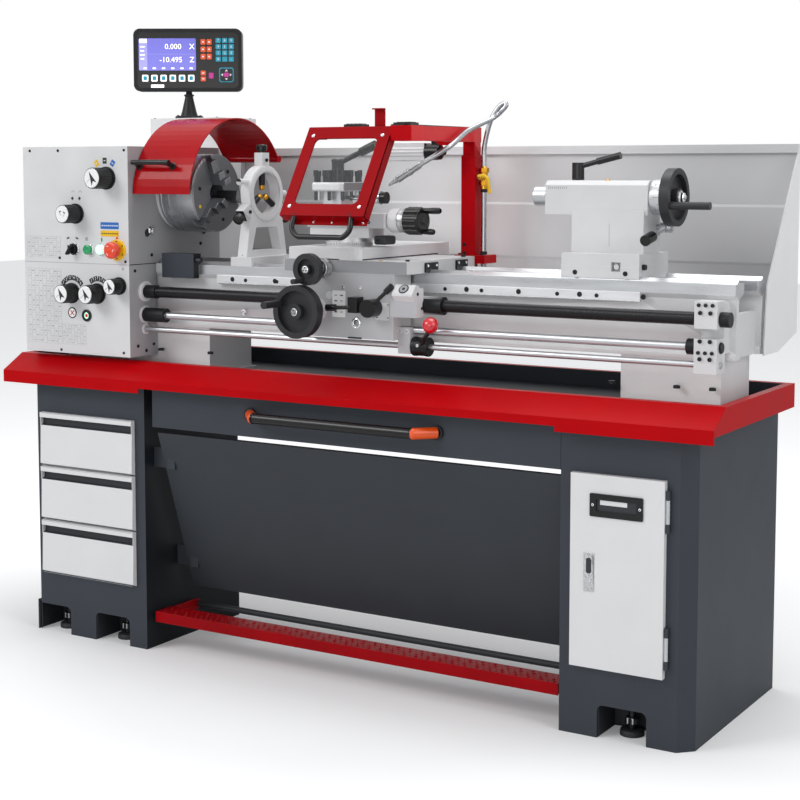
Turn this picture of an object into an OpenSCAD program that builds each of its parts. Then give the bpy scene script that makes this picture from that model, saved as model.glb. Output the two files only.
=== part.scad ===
// Manual lathe on a two-pedestal sheet-metal stand.
// Origin: on the floor, midway across the chip tray and midway from front to back.
// X runs along the bed (headstock at -X), Y runs from the operator to the back, Z is up.

/* [Stand] */
// Overall length of the chip tray
tray_w = 1970; // [1800:10:2300]
// Reach of the tray lip in front of the pedestals
tray_lip = 37; // [20:1:60]
// Distance from the pedestal fronts to the tray's rear face
tray_back = 480; // [440:5:560]
// Height of the tray rim above the floor
rim_z = 737; // [640:1:820]
// Depth of the tray below its rim
tray_depth = 40; // [25:1:60]
// Height of the upright band on the tray's front edge
band_h = 31; // [20:1:45]
// Width of the folded rim around the tray
rim_w = 20; // [12:1:30]
// Thickness of the tray and stand sheet metal
sheet = 3; // [2:0.5:5]
// Distance from the tray's ends to the outer pedestal sides
ped_inset = 54; // [30:1:90]
// Width of the left pedestal
left_w = 394; // [360:2:430]
// Depth of the left pedestal
left_d = 390; // [340:5:470]
// Width of the right pedestal
right_w = 304; // [290:2:360]
// Depth of the right pedestal
right_d = 530; // [420:5:540]
// Chamfer on the outer front corner of each pedestal
corner = 31; // [15:1:45]
// Width of a levelling-foot pocket
pocket_w = 115; // [90:1:120]
// Height of a levelling-foot pocket
pocket_h = 73; // [50:1:85]

/* [Cabinet] */
// Width of a drawer front
drawer_w = 312; // [280:2:330]
// Height of a drawer front
drawer_h = 141; // [120:1:150]
// Height of the lowest drawer front above the floor
drawer_z = 161; // [150:1:180]
// Depth of a drawer box
drawer_d = 330; // [260:5:330]
// Width of the cupboard door
door_w = 215; // [190:1:230]
// Height of the cupboard door
door_h = 422; // [350:2:440]
// Thickness of the drawer and door fronts
front_t = 14; // [10:1:18]
// Height of the chip drawer's front panel
chip_h = 98; // [80:2:98]
// Length of the chip drawer's pull handle
pull_w = 540; // [300:10:700]
// Height of the kick panel
kick_h = 420; // [300:5:440]
// Distance the kick panel leans back at its foot
kick_lean = 138; // [80:1:160]
// Depth of the brake pedal's tread
tread_d = 62; // [45:1:90]
// Height of the brake pedal's tread above the floor
tread_z = 97; // [85:1:120]

/* [Bed] */
// Distance from the pedestal fronts to the spindle axis
axis_y = 200; // [180:1:220]
// Height of the bed ways above the floor
bed_top = 984; // [940:1:1040]
// Height of the bed casting
bed_h = 160; // [140:1:180]
// Width across the bed ways
bed_w = 188; // [180:1:200]
// Width of one way
way_w = 52; // [44:1:58]
// Height of the spindle axis above the bed ways
centre_h = 179; // [170:1:190]
// Gap between the bed's right end and the tray's right end
end_gap = 11; // [8:1:40]

/* [Headstock] */
// Length of the headstock along the bed
head_w = 356; // [320:2:400]
// Depth of the headstock from front to back
head_d = 372; // [340:2:372]
// Height of the headstock above the bed ways
head_h = 298; // [270:2:320]
// Distance from the tray's left end to the headstock
head_gap = 50; // [50:1:70]
// Gap between the tray rim and the feed gearbox
box_gap = 12; // [6:1:30]
// Casting wall thickness
cast = 16; // [10:1:22]
// Diameter of the spindle where it runs in its bearings
spindle_d = 76; // [60:1:90]
// Diameter of the through bore in the spindle
spindle_bore = 40; // [20:1:52]
// Diameter of the three-jaw chuck
chuck_d = 200; // [160:5:250]
// Length of the chuck with its back plate
chuck_l = 112; // [90:1:125]
// Outer radius of the chuck guard
guard_r = 203; // [190:1:215]
// Length of the chuck guard along the spindle
guard_l = 180; // [140:5:200]

/* [Carriage] */
// Distance from the spindle nose face to the carriage's middle
carriage_x = 634; // [600:1:640]
// Width of the saddle along the bed
saddle_w = 340; // [300:5:360]
// Thickness of the saddle above the ways
saddle_t = 29; // [26:1:36]
// Width of the cross slide
cross_w = 206; // [170:2:220]
// Length of the cross slide
cross_l = 406; // [340:2:410]
// Thickness of the cross slide
cross_t = 29; // [24:1:34]
// Width of the apron
apron_w = 250; // [240:2:270]
// Height of the apron
apron_h = 152; // [140:1:160]
// Diameter of the carriage hand wheel
carriage_wheel_d = 124; // [100:2:124]
// Diameter of the cross slide hand wheel
cross_wheel_d = 74; // [60:1:74]
// Width of the square tool post
post_w = 82; // [64:1:90]

/* [Tailstock] */
// Gap between the tailstock base and the bed's right end
tail_gap = 222; // [215:1:260]
// Length of the tailstock base
tail_w = 186; // [160:2:200]
// Diameter of the tailstock quill
quill_d = 44; // [36:1:50]
// Diameter of the tailstock hand wheel
tail_wheel_d = 127; // [100:1:140]
// Distance from the chuck side of the saddle to the steady rest
steady_gap = 180; // [175:1:200]
// Outer diameter of the steady rest ring
steady_d = 142; // [120:2:150]

/* [Electrics] */
// Width of the electrical cabinet
ebox_w = 235; // [200:5:260]
// Depth of the electrical cabinet
ebox_d = 170; // [140:5:180]
// Height of the electrical cabinet
ebox_h = 390; // [340:5:395]
// Width of the position display
display_w = 300; // [240:5:300]
// Height of the position display
display_h = 172; // [140:2:190]
// Swivel of the position display about its stem
display_turn = 31; // [0:1:40]

/* [Hidden] */
$fn = 48;
fit = 0.05;      // radial running fit of a shaft in its bore
slip = 0.3;      // clearance between guarded sliding faces
eps = 0.01;

tray_x = tray_w / 2;
tray_floor = rim_z - tray_depth;
ped_top = tray_floor - sheet;
band_z = rim_z - tray_depth;
left_x0 = -tray_x + ped_inset;
left_x1 = left_x0 + left_w;
right_x1 = tray_x - ped_inset;
right_x0 = right_x1 - right_w;
mid_w = right_x0 - left_x1;
mid_x = (right_x0 + left_x1) / 2;

bed_x1 = tray_x - end_gap;
bed_x0 = -tray_x + head_gap + 20;
bed_z0 = bed_top - bed_h;
bed_y0 = axis_y - bed_w / 2;
bed_y1 = axis_y + bed_w / 2;
wall_in = 8;     // set-back of the bed's side walls from the ways
axis_z = bed_top + centre_h;
vee_h = 8;       // height of the raised vee on each way
vee_u = bed_w / 2 - 18;

head_x0 = -tray_x + head_gap;
head_x1 = head_x0 + head_w;
head_top = bed_top + head_h;
box_z0 = rim_z + box_gap;

nose_x = head_x1 + 14;
chuck_x1 = nose_x + chuck_l;
jaw_x1 = chuck_x1 + 44;
jaw_w = 24;

ebox_x1 = head_x1;
ebox_x0 = ebox_x1 - ebox_w;
ebox_y0 = head_d;
ebox_y1 = ebox_y0 + ebox_d;
ebox_top = head_top + 82;
stem_x = ebox_x0 + ebox_w * 0.29;
stem_y = ebox_y0 + ebox_d / 2;
stem_top = ebox_top + 76;

rod_y = 60;
lead_z = bed_top - 70;
feed_z = bed_top - 129;
ctl_z = bed_top - 166;
lead_d = 28;
feed_d = 18;
ctl_d = 14;
rods_x1 = bed_x1 - 14;

car_x = nose_x + carriage_x;
sad_x0 = car_x - 184;
sad_x1 = sad_x0 + saddle_w;
sad_y0 = 22;
sad_y1 = axis_y + 142;
sad_top = bed_top + saddle_t;
cross_x = sad_x0 + 117;
cross_y0 = 21;
cross_top = sad_top + cross_t;
apr_x0 = sad_x0 + 55;
apr_x1 = apr_x0 + apron_w;
apr_y0 = 20;
apr_y1 = 98;
apr_z0 = bed_top - apron_h;
wheel_x = apr_x0 + 42;
wheel_z = bed_top - 88;
cscrew_z = bed_top + 10;

comp_y = axis_y - 75;
comp_z = cross_top + 44;
slide_t = 34;
slide_x0 = cross_x - 97;
slide_x1 = cross_x + 120;
tpost_x = cross_x - 32;
tpost_z = comp_z + slide_t;
twheel_z = comp_z + 18;

gpost_x = cross_x + 198;
gpost_y = sad_y1 + 30;
arm_z = sad_top + 277;
arm_y0 = 22;
gate_z = arm_z + 30;
gate_y = 35;
gate_x1 = gpost_x - 18.5;
gate_w = 229;
pipe_x = gpost_x + 34;

tail_x1 = bed_x1 - tail_gap;
tail_x0 = tail_x1 - tail_w;
tail_y0 = axis_y - 82;
tail_y1 = axis_y + 82;
quill_x0 = tail_x0 - 102;
barrel_x0 = tail_x0 - 61;

steady_x = sad_x0 - steady_gap - 15;

ctr_guard_y = axis_y + 16;
ctr_guard_z = axis_z - 11;
hinge_a = 29;
hinge_y = ctr_guard_y + (guard_r + 4) * cos(hinge_a);
hinge_z = ctr_guard_z + (guard_r + 4) * sin(hinge_a);

pull_y = -45;
wheel_y = -75;
grip_y = wheel_y - 60;
gate_tilt = 31.6;
gate_l = 238;
turn_reach = display_w / 2 * sin(display_turn) + 21 * cos(display_turn);
rear_y = max(ebox_y1, stem_y + turn_reach);
mid_y = (rear_y + grip_y) / 2;

left_mid = left_x0 + left_w * 0.523;
drawer_pitch = drawer_h + 2.5;
door_x0 = right_x0 + 30;
door_x1 = door_x0 + door_w;
door_z = 156;
door_hinges = [door_z + 40, door_z + door_h - 90];
chip_z1 = band_z - band_h + 10;
chip_z0 = chip_z1 - chip_h;
chip_x0 = left_x1 + 27;
chip_x1 = right_x0 - 1;
kick_z1 = chip_z0 - 14;
kick_gap = 42;
rim_y = 33;
pivot_y = 190;
pivot_z = 80;
pivot_d = 16;
guard_back = tray_back + 7;
rack_x0 = head_x1 + 200;
rack_x1 = bed_x1 - 212;
rack_y0 = bed_y0 - 6;
rack_z0 = bed_top - 44;
stop_x0 = head_x1 + 37;
motor_d = 124;
motor_y = bed_y1 + motor_d / 2 + 8;
motor_z = bed_top - 94;
cover_hinges = [box_z0 + 71, head_top - 132];
cover_y0 = 50;
cover_y1 = motor_y + 68;
belt_x = head_x0 - 15;
jaw_turn = 20;
speed_p = [-69, head_top - 80];
mode_p = [-174, head_top - 171];
sel_p = [-182, bed_top + 36];
start_p = [-131, bed_top + 36];
stop_p = [-37, bed_top + 37];
knob_a = [-192, box_z0 + 157];
knob_b = [-105, box_z0 + 159];
knob_c = [-32, box_z0 + 181];
feed_x = apr_x1 - 50;
nut_x = apr_x1 - 94;
hose_top = sad_top + 265;
hose_points = [[pipe_x, gpost_y, sad_top + 215], [pipe_x, gpost_y + 1, hose_top],
  [pipe_x + 14, gpost_y + 5, hose_top + 62], [pipe_x + 34, gpost_y + 9, hose_top + 96],
  [pipe_x + 54, gpost_y + 11, hose_top + 104], [pipe_x + 48, gpost_y + 8, hose_top + 92],
  [pipe_x + 24, gpost_y, hose_top + 70], [pipe_x - 2, gpost_y - 74, hose_top + 39],
  [pipe_x - 8, gpost_y - 156, hose_top], [pipe_x - 72, gpost_y - 191, hose_top - 45],
  [pipe_x - 110, gpost_y - 225, hose_top - 78]];

red = [0.69, 0.07, 0.11];
dark_red = [0.6, 0.04, 0.07];
graphite = [0.24, 0.26, 0.29];
light = [0.84, 0.84, 0.85];
pale = [0.87, 0.87, 0.87];
black = [0.08, 0.08, 0.09];
steel = [0.72, 0.73, 0.75];
orange = [0.94, 0.32, 0.08];
brass = [0.8, 0.57, 0.15];
green = [0.1, 0.6, 0.25];

// Moves the machine frame (pedestal fronts at y = 0) onto the part's origin.
module place() {
  translate([0, -mid_y, 0]) children();
}

// Box between two corners.
module box(x0, x1, y0, y1, z0, z1) {
  translate([x0, y0, z0]) cube([x1 - x0, y1 - y0, z1 - z0]);
}

// Cylinders along each axis between two stations.
module rod_x(x0, x1, y, z, d) {
  translate([x0, y, z]) rotate([0, 90, 0]) cylinder(h = x1 - x0, d = d);
}
module rod_y(y0, y1, x, z, d) {
  translate([x, y0, z]) rotate([-90, 0, 0]) cylinder(h = y1 - y0, d = d);
}
module rod_z(z0, z1, x, y, d) {
  translate([x, y, z0]) cylinder(h = z1 - z0, d = d);
}

// Straight round bar between two points.
module bar(a, b, d) {
  v = b - a;
  l = norm(v);
  translate(a) rotate([0, acos(v[2] / l), atan2(v[1], v[0])]) cylinder(h = l, d = d);
}

// Bent round bar through a list of points, with ball corners a little proud.
module bent_bar(p, d) {
  for (i = [0 : len(p) - 2]) bar(p[i], p[i + 1], d);
  if (len(p) > 2) for (i = [1 : len(p) - 2]) translate(p[i]) sphere(d = d + 0.6);
}

// Profile in (y, z) drawn along X, and profile in (x, z) drawn along Y.
module along_x(x0, x1, pts) {
  translate([x0, 0, 0]) rotate([90, 0, 90]) linear_extrude(x1 - x0) polygon(pts);
}
module along_y(y0, y1, pts) {
  translate([0, y1, 0]) rotate([90, 0, 0]) linear_extrude(y1 - y0) polygon(pts);
}
module along_z(z0, z1, pts) {
  translate([0, 0, z0]) linear_extrude(z1 - z0) polygon(pts);
}

// Rounded rectangle centred on the origin.
module round_rect(w, h, r) {
  square([w - 2 * r, h], center = true);
  square([w, h - 2 * r], center = true);
  for (x = [-1, 1]) for (y = [-1, 1]) {
    translate([x * (w / 2 - r), y * (h / 2 - r)]) circle(r = r);
  }
}

// Outline of a folded sheet that follows a path at a constant thickness.
function unit(v) = v / norm(v);
function side(v) = [-v[1], v[0]];
function miter(a, b) = let (m = side(unit(a)) + side(unit(b))) m / (1 + unit(a) * unit(b));
function step(p, i) = p[i + 1] - p[i];
function back(p, i) = i == 0 ? step(p, 0) : step(p, i - 1);
function ahead(p, i) = i == len(p) - 1 ? step(p, i - 1) : step(p, i);
function offside(p, t) = [for (i = [0 : len(p) - 1]) p[i] + t * miter(back(p, i), ahead(p, i))];
function flip(p) = [for (i = [len(p) - 1 : -1 : 0]) p[i]];
function folded(p, t) = concat(p, flip(offside(p, t)));

// Points on a circular arc.
function arc(cx, cy, r, a0, a1, n) =
  [for (i = [0 : n]) let (a = a0 + (a1 - a0) * i / n) [cx + r * cos(a), cy + r * sin(a)]];

// ---------- stand ----------

// Plan outline of a pedestal; the chamfer sits on the outer front corner.
function ped_plan(x0, x1, d, cut) = cut < 0
  ? [[x0 - cut, 0], [x1, 0], [x1, d], [x0, d], [x0, -cut]]
  : [[x0, 0], [x1 - cut, 0], [x1, cut], [x1, d], [x0, d]];

module ped_shell(x0, x1, d, cut) {
  difference() {
    along_z(0, ped_top, ped_plan(x0, x1, d, cut));
    difference() {
      along_z(-1, ped_top - sheet, ped_plan(x0 + sheet, x1 - sheet, d, cut * 0.96));
      box(x0 - 1, x1 + 1, -1, sheet, -2, ped_top);
      box(x0 - 1, x1 + 1, d - sheet, d + 1, -2, ped_top);
      box(x0 - 1, x1 + 1, -1, d + 1, pocket_h + 6, pocket_h + 9);
    }
  }
}

// Opening in the front wall for a levelling foot.
module pocket_cut(x) {
  translate([x, sheet + 1, 0]) rotate([90, 0, 0]) linear_extrude(sheet + 2) {
    translate([0, pocket_h / 2 - 6]) square([pocket_w, pocket_h - 12], center = true);
    translate([0, pocket_h - 14]) square([pocket_w - 28, 28], center = true);
    for (s = [-1, 1]) translate([s * (pocket_w / 2 - 14), pocket_h - 14]) circle(r = 14);
  }
}

// Sheet walls behind and beside the opening.
module niche(x) {
  difference() {
    box(x - pocket_w / 2 - sheet, x + pocket_w / 2 + sheet, sheet - 1, 100, 0, pocket_h + 7);
    box(x - pocket_w / 2, x + pocket_w / 2, -1, 100 - sheet, -1, pocket_h + 8);
  }
}

// Levelling screw with pad and lock nut, standing on the floor.
module levelling_foot(x, y) {
  rod_z(0, 12, x, y, 52);
  rod_z(12, pocket_h + 6, x, y, 16);
  translate([x, y, 26]) cylinder(h = 13, d = 30, $fn = 6);
}

module drain_slots(x, z) {
  for (i = [0 : 3]) box(x, x + 3, 90 + i * 60, 120 + i * 60, z, z + 6);
}

left_pockets = [left_x0 + 77, left_x1 - 115];

module left_pedestal() place() color(graphite) {
  difference() {
    ped_shell(left_x0, left_x1, left_d, -corner);
    for (x = left_pockets) pocket_cut(x);
    box(left_mid - drawer_w / 2 + 8, left_mid + drawer_w / 2 - 8, -1, sheet + 1,
      drawer_z + 6, drawer_z + 3 * drawer_pitch - 8);
    rod_x(left_x1 - sheet - 10, left_x1 + 1, pivot_y, pivot_z, pivot_d + 2 * fit);
  }
  for (x = left_pockets) levelling_foot(x, 60);
  for (x = left_pockets) niche(x);
  for (x = left_pockets) levelling_foot(x, left_d - 60);
  for (i = [0 : 2]) for (s = [-1, 1]) {
    translate([left_mid + s * (drawer_w / 2 - 13 + slip + 12), sheet + drawer_d / 2,
      drawer_z + drawer_pitch * (i + 0.5)]) cube([24, drawer_d - 20, 16], center = true);
  }
  for (s = [-1, 1]) for (y = [sheet, drawer_d - 14]) {
    translate([left_mid + s * (drawer_w / 2 + 4) - 7, y, drawer_z]) {
      cube([14, 12, 3 * drawer_pitch]);
    }
  }
}

right_pockets = [right_x0 + 148];

module right_pedestal() place() color(graphite) {
  difference() {
    ped_shell(right_x0, right_x1, right_d, corner);
    for (x = right_pockets) pocket_cut(x);
    box(door_x0 + 12, door_x1 - 12, -1, sheet + 1, door_z + 12, door_z + door_h - 12);
    rod_x(right_x0 - 1, right_x0 + sheet + 10, pivot_y, pivot_z, pivot_d + 2 * fit);
  }
  for (x = right_pockets) levelling_foot(x, 60);
  for (x = right_pockets) niche(x);
  for (x = [right_x0 + 60, right_x1 - 60]) levelling_foot(x, right_d - 60);
  for (z = door_hinges) for (k = [z - 20, z + 50.3]) {
    rod_z(k, k + 19.7, door_x1 + 5, -7, 9);
    box(door_x1 + 3, door_x1 + 7, -5, 1, k, k + 19.7);
  }
  for (z = door_hinges) rod_z(z - 10, z + 60, door_x1 + 5, -7, 5);
}

// Hollow rim, folded from sheet, and the flat floor of the tray.
module chip_tray() place() color(red) {
  x1 = tray_x;
  lip = -tray_lip;
  tall = band_z - band_h;
  front = [[lip, tall], [lip, band_z], [rim_y, rim_z], [rim_y + rim_w, rim_z],
    [rim_y + rim_w, tray_floor - sheet]];
  difference() {
    union() {
      along_x(-x1, x1, folded(flip(front), sheet));
      along_y(rim_y, tray_back, folded(flip([[-x1, rim_z - 55], [-x1, rim_z],
        [-x1 + rim_w, rim_z], [-x1 + rim_w, tray_floor - sheet]]), sheet));
      along_y(rim_y, tray_back, folded([[x1, rim_z - 55], [x1, rim_z],
        [x1 - rim_w, rim_z], [x1 - rim_w, tray_floor - sheet]], sheet));
      along_x(-x1, x1, folded([[tray_back, ped_top], [tray_back, rim_z],
        [tray_back - rim_w, rim_z], [tray_back - rim_w, tray_floor - sheet]], sheet));
      for (s = [-1, 1]) along_x(s * x1 - (s > 0 ? sheet : 0), s * x1 + (s > 0 ? 0 : sheet),
        [[lip, rim_z - 55], [lip, band_z], [rim_y, rim_z], [rim_y + rim_w, rim_z],
        [rim_y + rim_w, rim_z - 55]]);
    }
    box(chip_x0 - 15, chip_x1 + 2, lip - 1, lip + sheet + 1, tall - 1, tall + 12);
  }
  box(-x1 + rim_w - sheet, x1 - rim_w + sheet, rim_y + rim_w - sheet,
    tray_back - rim_w + sheet, ped_top, tray_floor);
  for (x = [-x1 + 20, x1 - 20 - 60]) box(x, x + 60, lip + sheet, 0, band_z - 8, band_z - 4);
  for (s = [0, 1]) translate([s == 0 ? chip_x0 + 7.7 : chip_x1 - 7.7, 0, 0]) mirror([s, 0, 0]) {
    box(-sheet, 0, 20, tray_back - 80, chip_z0 + 17, ped_top + 1);
    box(-sheet, 12, 20, tray_back - 80, chip_z0 + 17, chip_z0 + 20);
  }
}

// Leaning sheet between the pedestals, with its folded edges and mounting straps.
module kick_panel() place() color(graphite) {
  x0 = left_x1 + kick_gap;
  along_x(x0, right_x0, folded([[22, kick_z1], [2, kick_z1], [2 + kick_lean, kick_z1 - kick_h],
    [22 + kick_lean, kick_z1 - kick_h]], sheet));
  for (z = [kick_z1 - 70, kick_z1 - kick_h + 80]) {
    y = 2 + sheet + kick_lean * (kick_z1 - z) / kick_h;
    box(left_x1, x0 + 40, y + 9, y + 13, z - 25, z + 25);
    box(x0 + 10, x0 + 34, y - 3, y + 12, z - 25, z + 5);
  }
}

// Folded sheet behind the bed, with its right end plate.
module splash_guard() place() color(light) {
  x0 = head_x1 + 1;
  x1 = tray_x - 1;
  y = guard_back;
  top = head_top - 1;
  skirt = [[y - 14, top - 20], [y - 14, top], [y, top], [y, top - 139], [y - 4, top - 145],
    [y - 4, bed_top + 26], [y, bed_top + 20], [y, bed_z0 + 30], [bed_y1 + 62, bed_z0 - sheet],
    [bed_y1 - 5, bed_z0 - sheet]];
  along_x(x0, x1, folded(skirt, -sheet));
  along_x(x1 - sheet, x1, [[y, top], [y - 14, top], [y - 14, top - 20], [bed_y1 - 17, bed_top - 14],
    [bed_y1 - 30, bed_z0 + 24], [bed_y1 - 30, bed_z0 - sheet], [bed_y1 + 62, bed_z0 - sheet],
    [y, bed_z0 + 30]]);
  along_x(x0, x0 + sheet, [[y, top], [y - 14, top], [y - 20, bed_top], [y - 14, bed_z0 + 30],
    [y, bed_z0 + 30]]);
  for (x = [head_x1 + 260, mid_x, bed_x1 - 160]) {
    box(x, x + 40, bed_y1 - wall_in, y - 5, bed_z0 + 46, bed_z0 + 50);
    box(x, x + 4, bed_y1 - wall_in, y - 5, bed_z0 + 20, bed_z0 + 46);
  }
}

// ---------- bed ----------

// Half section of the bed; u is the distance from the spindle axis plane.
function rail(s) = let (o = bed_w / 2, i = bed_w / 2 - way_w)
  [for (p = [[o, bed_top], [o, bed_top - 24], [o - wall_in, bed_top - 34],
    [o - wall_in, bed_z0 + 14], [o - 2, bed_z0 + 8], [o - 2, bed_z0], [o - 34, bed_z0],
    [o - 34, bed_z0 + 12], [o - 22, bed_z0 + 18], [o - 22, bed_top - 34],
    [i, bed_top - 22], [i, bed_top]]) [axis_y + s * p[0], p[1]]];

module bed_foot(x0, x1) {
  difference() {
    union() {
      box(x0 + 12, x1 - 12, bed_y0 + 6, bed_y1 - 6, tray_floor + 10, bed_z0);
      box(x0, x1, bed_y0 - 4, bed_y1 + 2, tray_floor, tray_floor + 14);
    }
    box(x0 + 28, x1 - 28, bed_y0 + 30, bed_y1 - 30, tray_floor - 1, bed_z0 - 18);
    for (x = [x0 + 34, x1 - 34]) for (y = [bed_y0 + 14, bed_y1 - 14]) {
      rod_z(tray_floor - 1, tray_floor + 15, x, y, 13);
    }
  }
}

// The bed with its feet, rack and carriage stop.
module bed() place() color(light) {
  for (s = [-1, 1]) along_x(bed_x0, bed_x1, s > 0 ? rail(s) : flip(rail(s)));
  for (s = [-1, 1]) along_x(head_x1 + 2, bed_x1, [[axis_y + s * vee_u - vee_h, bed_top - eps],
    [axis_y + s * vee_u + vee_h, bed_top - eps], [axis_y + s * vee_u, bed_top + vee_h]]);
  for (i = [0 : 8]) {
    x = bed_x0 + 12 + i * (bed_x1 - bed_x0 - 24 - 14) / 8;
    box(x, x + 14, bed_y0 + 20, bed_y1 - 20, bed_z0, bed_top - 66);
  }
  bed_foot(bed_x0 + 15, head_x1 + 178);
  bed_foot(bed_x1 - 271, bed_x1 - 19);
  box(rack_x0, rack_x1, rack_y0, bed_y0 + wall_in, rack_z0, rack_z0 + 20);
  for (x = [rack_x0 + 90 : 95 : rack_x1 - 20]) rod_y(rack_y0 - 1.5, rack_y0 + 1, x, rack_z0 + 10, 9);
  box(stop_x0, stop_x0 + 102, bed_y0 - 22, bed_y0, bed_top - 34, bed_top + 28);
  box(stop_x0, stop_x0 + 102, bed_y0 - 22, bed_y0 + 8, bed_top, bed_top + 28);
  rod_x(stop_x0 + 102, stop_x0 + 118, bed_y0 - 10, bed_top + 12, 12);
}

// Bearing block for the three feed rods at the right end of the bed.
module rod_bracket() place() color(light) {
  x0 = bed_x1 - 64;
  x1 = bed_x1 - 14;
  difference() {
    union() {
      box(x0, x1, 38, 88, bed_top - 89, bed_top - 32);
      box(x0, x1, 38, 88, ctl_z - 17, feed_z + 19);
      box(x0, x1, 80, bed_y0 + wall_in, bed_z0 + 16, bed_top - 36);
      for (x = [x0 + 10, x0 + 40]) rod_y(35, 38, x, bed_top - 40, 8);
      rod_y(35, 38, x0 + 25, bed_top - 40, 8);
      for (x = [x0 + 10, x0 + 25, x0 + 40]) rod_y(35, 38, x, feed_z - 10, 8);
    }
    rod_x(x0 - 1, x1 + 1, rod_y, lead_z, lead_d - 8 + 2 * fit);
    rod_x(x0 - 1, x1 + 1, rod_y, feed_z, feed_d + 2 * fit);
    rod_x(x0 - 1, x1 + 1, rod_y, ctl_z, ctl_d + 2 * fit);
  }
}

// ---------- headstock, drive and electrics ----------

// Hollow casting around the spindle, with the plate that carries the belt cover.
module headstock() place() color(light) {
  difference() {
    union() {
      box(head_x0, head_x1, 0, head_d, bed_top, head_top);
      rod_x(head_x1 - cast - 20, head_x1, axis_y, axis_z, spindle_d + 50);
      box(head_x0 - 3, head_x0, cover_y0, cover_y1, box_z0 + 11, head_top - 12);
      rod_y(-3, 1, head_x1 + stop_p[0], stop_p[1], 54);
    }
    difference() {
      box(head_x0 + cast, head_x1 - cast, cast, head_d - cast, bed_top + cast, head_top - cast);
      rod_x(head_x0 - 1, head_x0 + cast + 20, axis_y, axis_z, spindle_d + 50);
      rod_x(head_x1 - cast - 20, head_x1 + 1, axis_y, axis_z, spindle_d + 50);
    }
    rod_x(head_x0 - 4, head_x1 + 1, axis_y, axis_z, spindle_d + 2 * fit);
    rod_x(head_x0 - 4, head_x0 + 1, motor_y, motor_z, 60);
    for (p = [[speed_p, 12], [mode_p, 12], [sel_p, 12], [start_p, 12], [stop_p, 16]]) {
      rod_y(-4, cast + 1, head_x1 + p[0][0], p[0][1], p[1] + 2 * fit);
    }
    for (y = [70, head_d - 70]) rod_x(head_x1 - 4, head_x1 + 1, y, axis_z - 100, 22);
  }
  for (y = [70, head_d - 70]) rod_x(head_x1 - 4, head_x1 + 2, y, axis_z - 100, 20);
  for (z = cover_hinges) for (k = [z - 20, z + 60.3]) {
    rod_z(k, k + 19.7, head_x0 - 9, cover_y1 + 6, 11);
    box(head_x0 - 6, head_x0 - 2, cover_y1 + 0.5, cover_y1 + 9, k, k + 19.7);
    box(head_x0 - 3, head_x0, cover_y1 - 1, cover_y1 + 9, k, k + 19.7);
  }
  for (z = cover_hinges) rod_z(z - 10, z + 70, head_x0 - 9, cover_y1 + 6, 6);
}

// Feed gearbox in front of the bed's left end.
module gearbox() place() color(light) {
  difference() {
    box(head_x0, head_x1, 0, bed_y0, box_z0, bed_top);
    box(head_x0 + 14, head_x1 - 14, 14, bed_y0 - 14, box_z0 + 14, bed_top - 14);
    rod_x(head_x1 - 15, head_x1 + 1, rod_y, lead_z, lead_d + 2 * fit);
    rod_x(head_x1 - 15, head_x1 + 1, rod_y, feed_z, feed_d + 2 * fit);
    rod_x(head_x1 - 15, head_x1 + 1, rod_y, ctl_z, ctl_d + 2 * fit);
    for (p = [knob_a, knob_b, knob_c]) {
      rod_y(-1, 15, head_x1 + p[0], p[1], 10 + 2 * fit);
    }
    rod_y(-1, 2, head_x1 - 143, box_z0 + 101, 20);
  }
  rod_y(0.5, 4, head_x1 - 143, box_z0 + 101, 20);
}

// Belt and change-gear cover on the left side, hinged at its rear edge.
module end_cover() place() color(light) {
  x0 = head_x0 - 37;
  x1 = head_x0 - 3;
  z0 = box_z0 + 11;
  z1 = head_top - 12;
  difference() {
    box(x0, x1, cover_y0, cover_y1, z0, z1);
    box(x0 + 3, x1 + 1, cover_y0 + 3, cover_y1 - 3, z0 + 3, z1 - 3);
  }
  for (z = cover_hinges) difference() {
    union() {
      rod_z(z, z + 60, x1 - 6, cover_y1 + 6, 12);
      box(x1 - 12, x1 - 6, cover_y1 - 1, cover_y1 + 8, z, z + 60);
    }
    rod_z(z - 1, z + 61, x1 - 6, cover_y1 + 6, 6 + 2 * fit);
  }
  rod_x(x0 - 12, x0, cover_y0 + 30, (z0 + z1) / 2, 24);
}

// Electrical cabinet with its door, vents and the foot of the display stem.
module electric_box() place() color(pale) {
  z0 = ebox_top - ebox_h;
  difference() {
    union() {
      box(ebox_x0, ebox_x1, ebox_y0, ebox_y1, z0, ebox_top);
      rod_z(ebox_top, ebox_top + 8, stem_x, stem_y, 76);
      translate([stem_x, stem_y, ebox_top + 8]) cylinder(h = 22, d1 = 44, d2 = 24, $fn = 48);
      rod_z(ebox_top + 30, stem_top + 14, stem_x, stem_y, 14);
    }
    box(ebox_x0 + 3, ebox_x1 - 3, ebox_y0 + 3, ebox_y1 - 3, z0 + 3, ebox_top - 3);
    rod_x(ebox_x1 - 4, ebox_x1 + 1, hinge_y, hinge_z, 14 + 2 * fit);
    for (i = [0 : 5]) box(ebox_x0 + 60, ebox_x1 - 60, ebox_y1 - 4, ebox_y1 + 1,
      z0 + 40 + i * 14, z0 + 46 + i * 14);
  }
}

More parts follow.
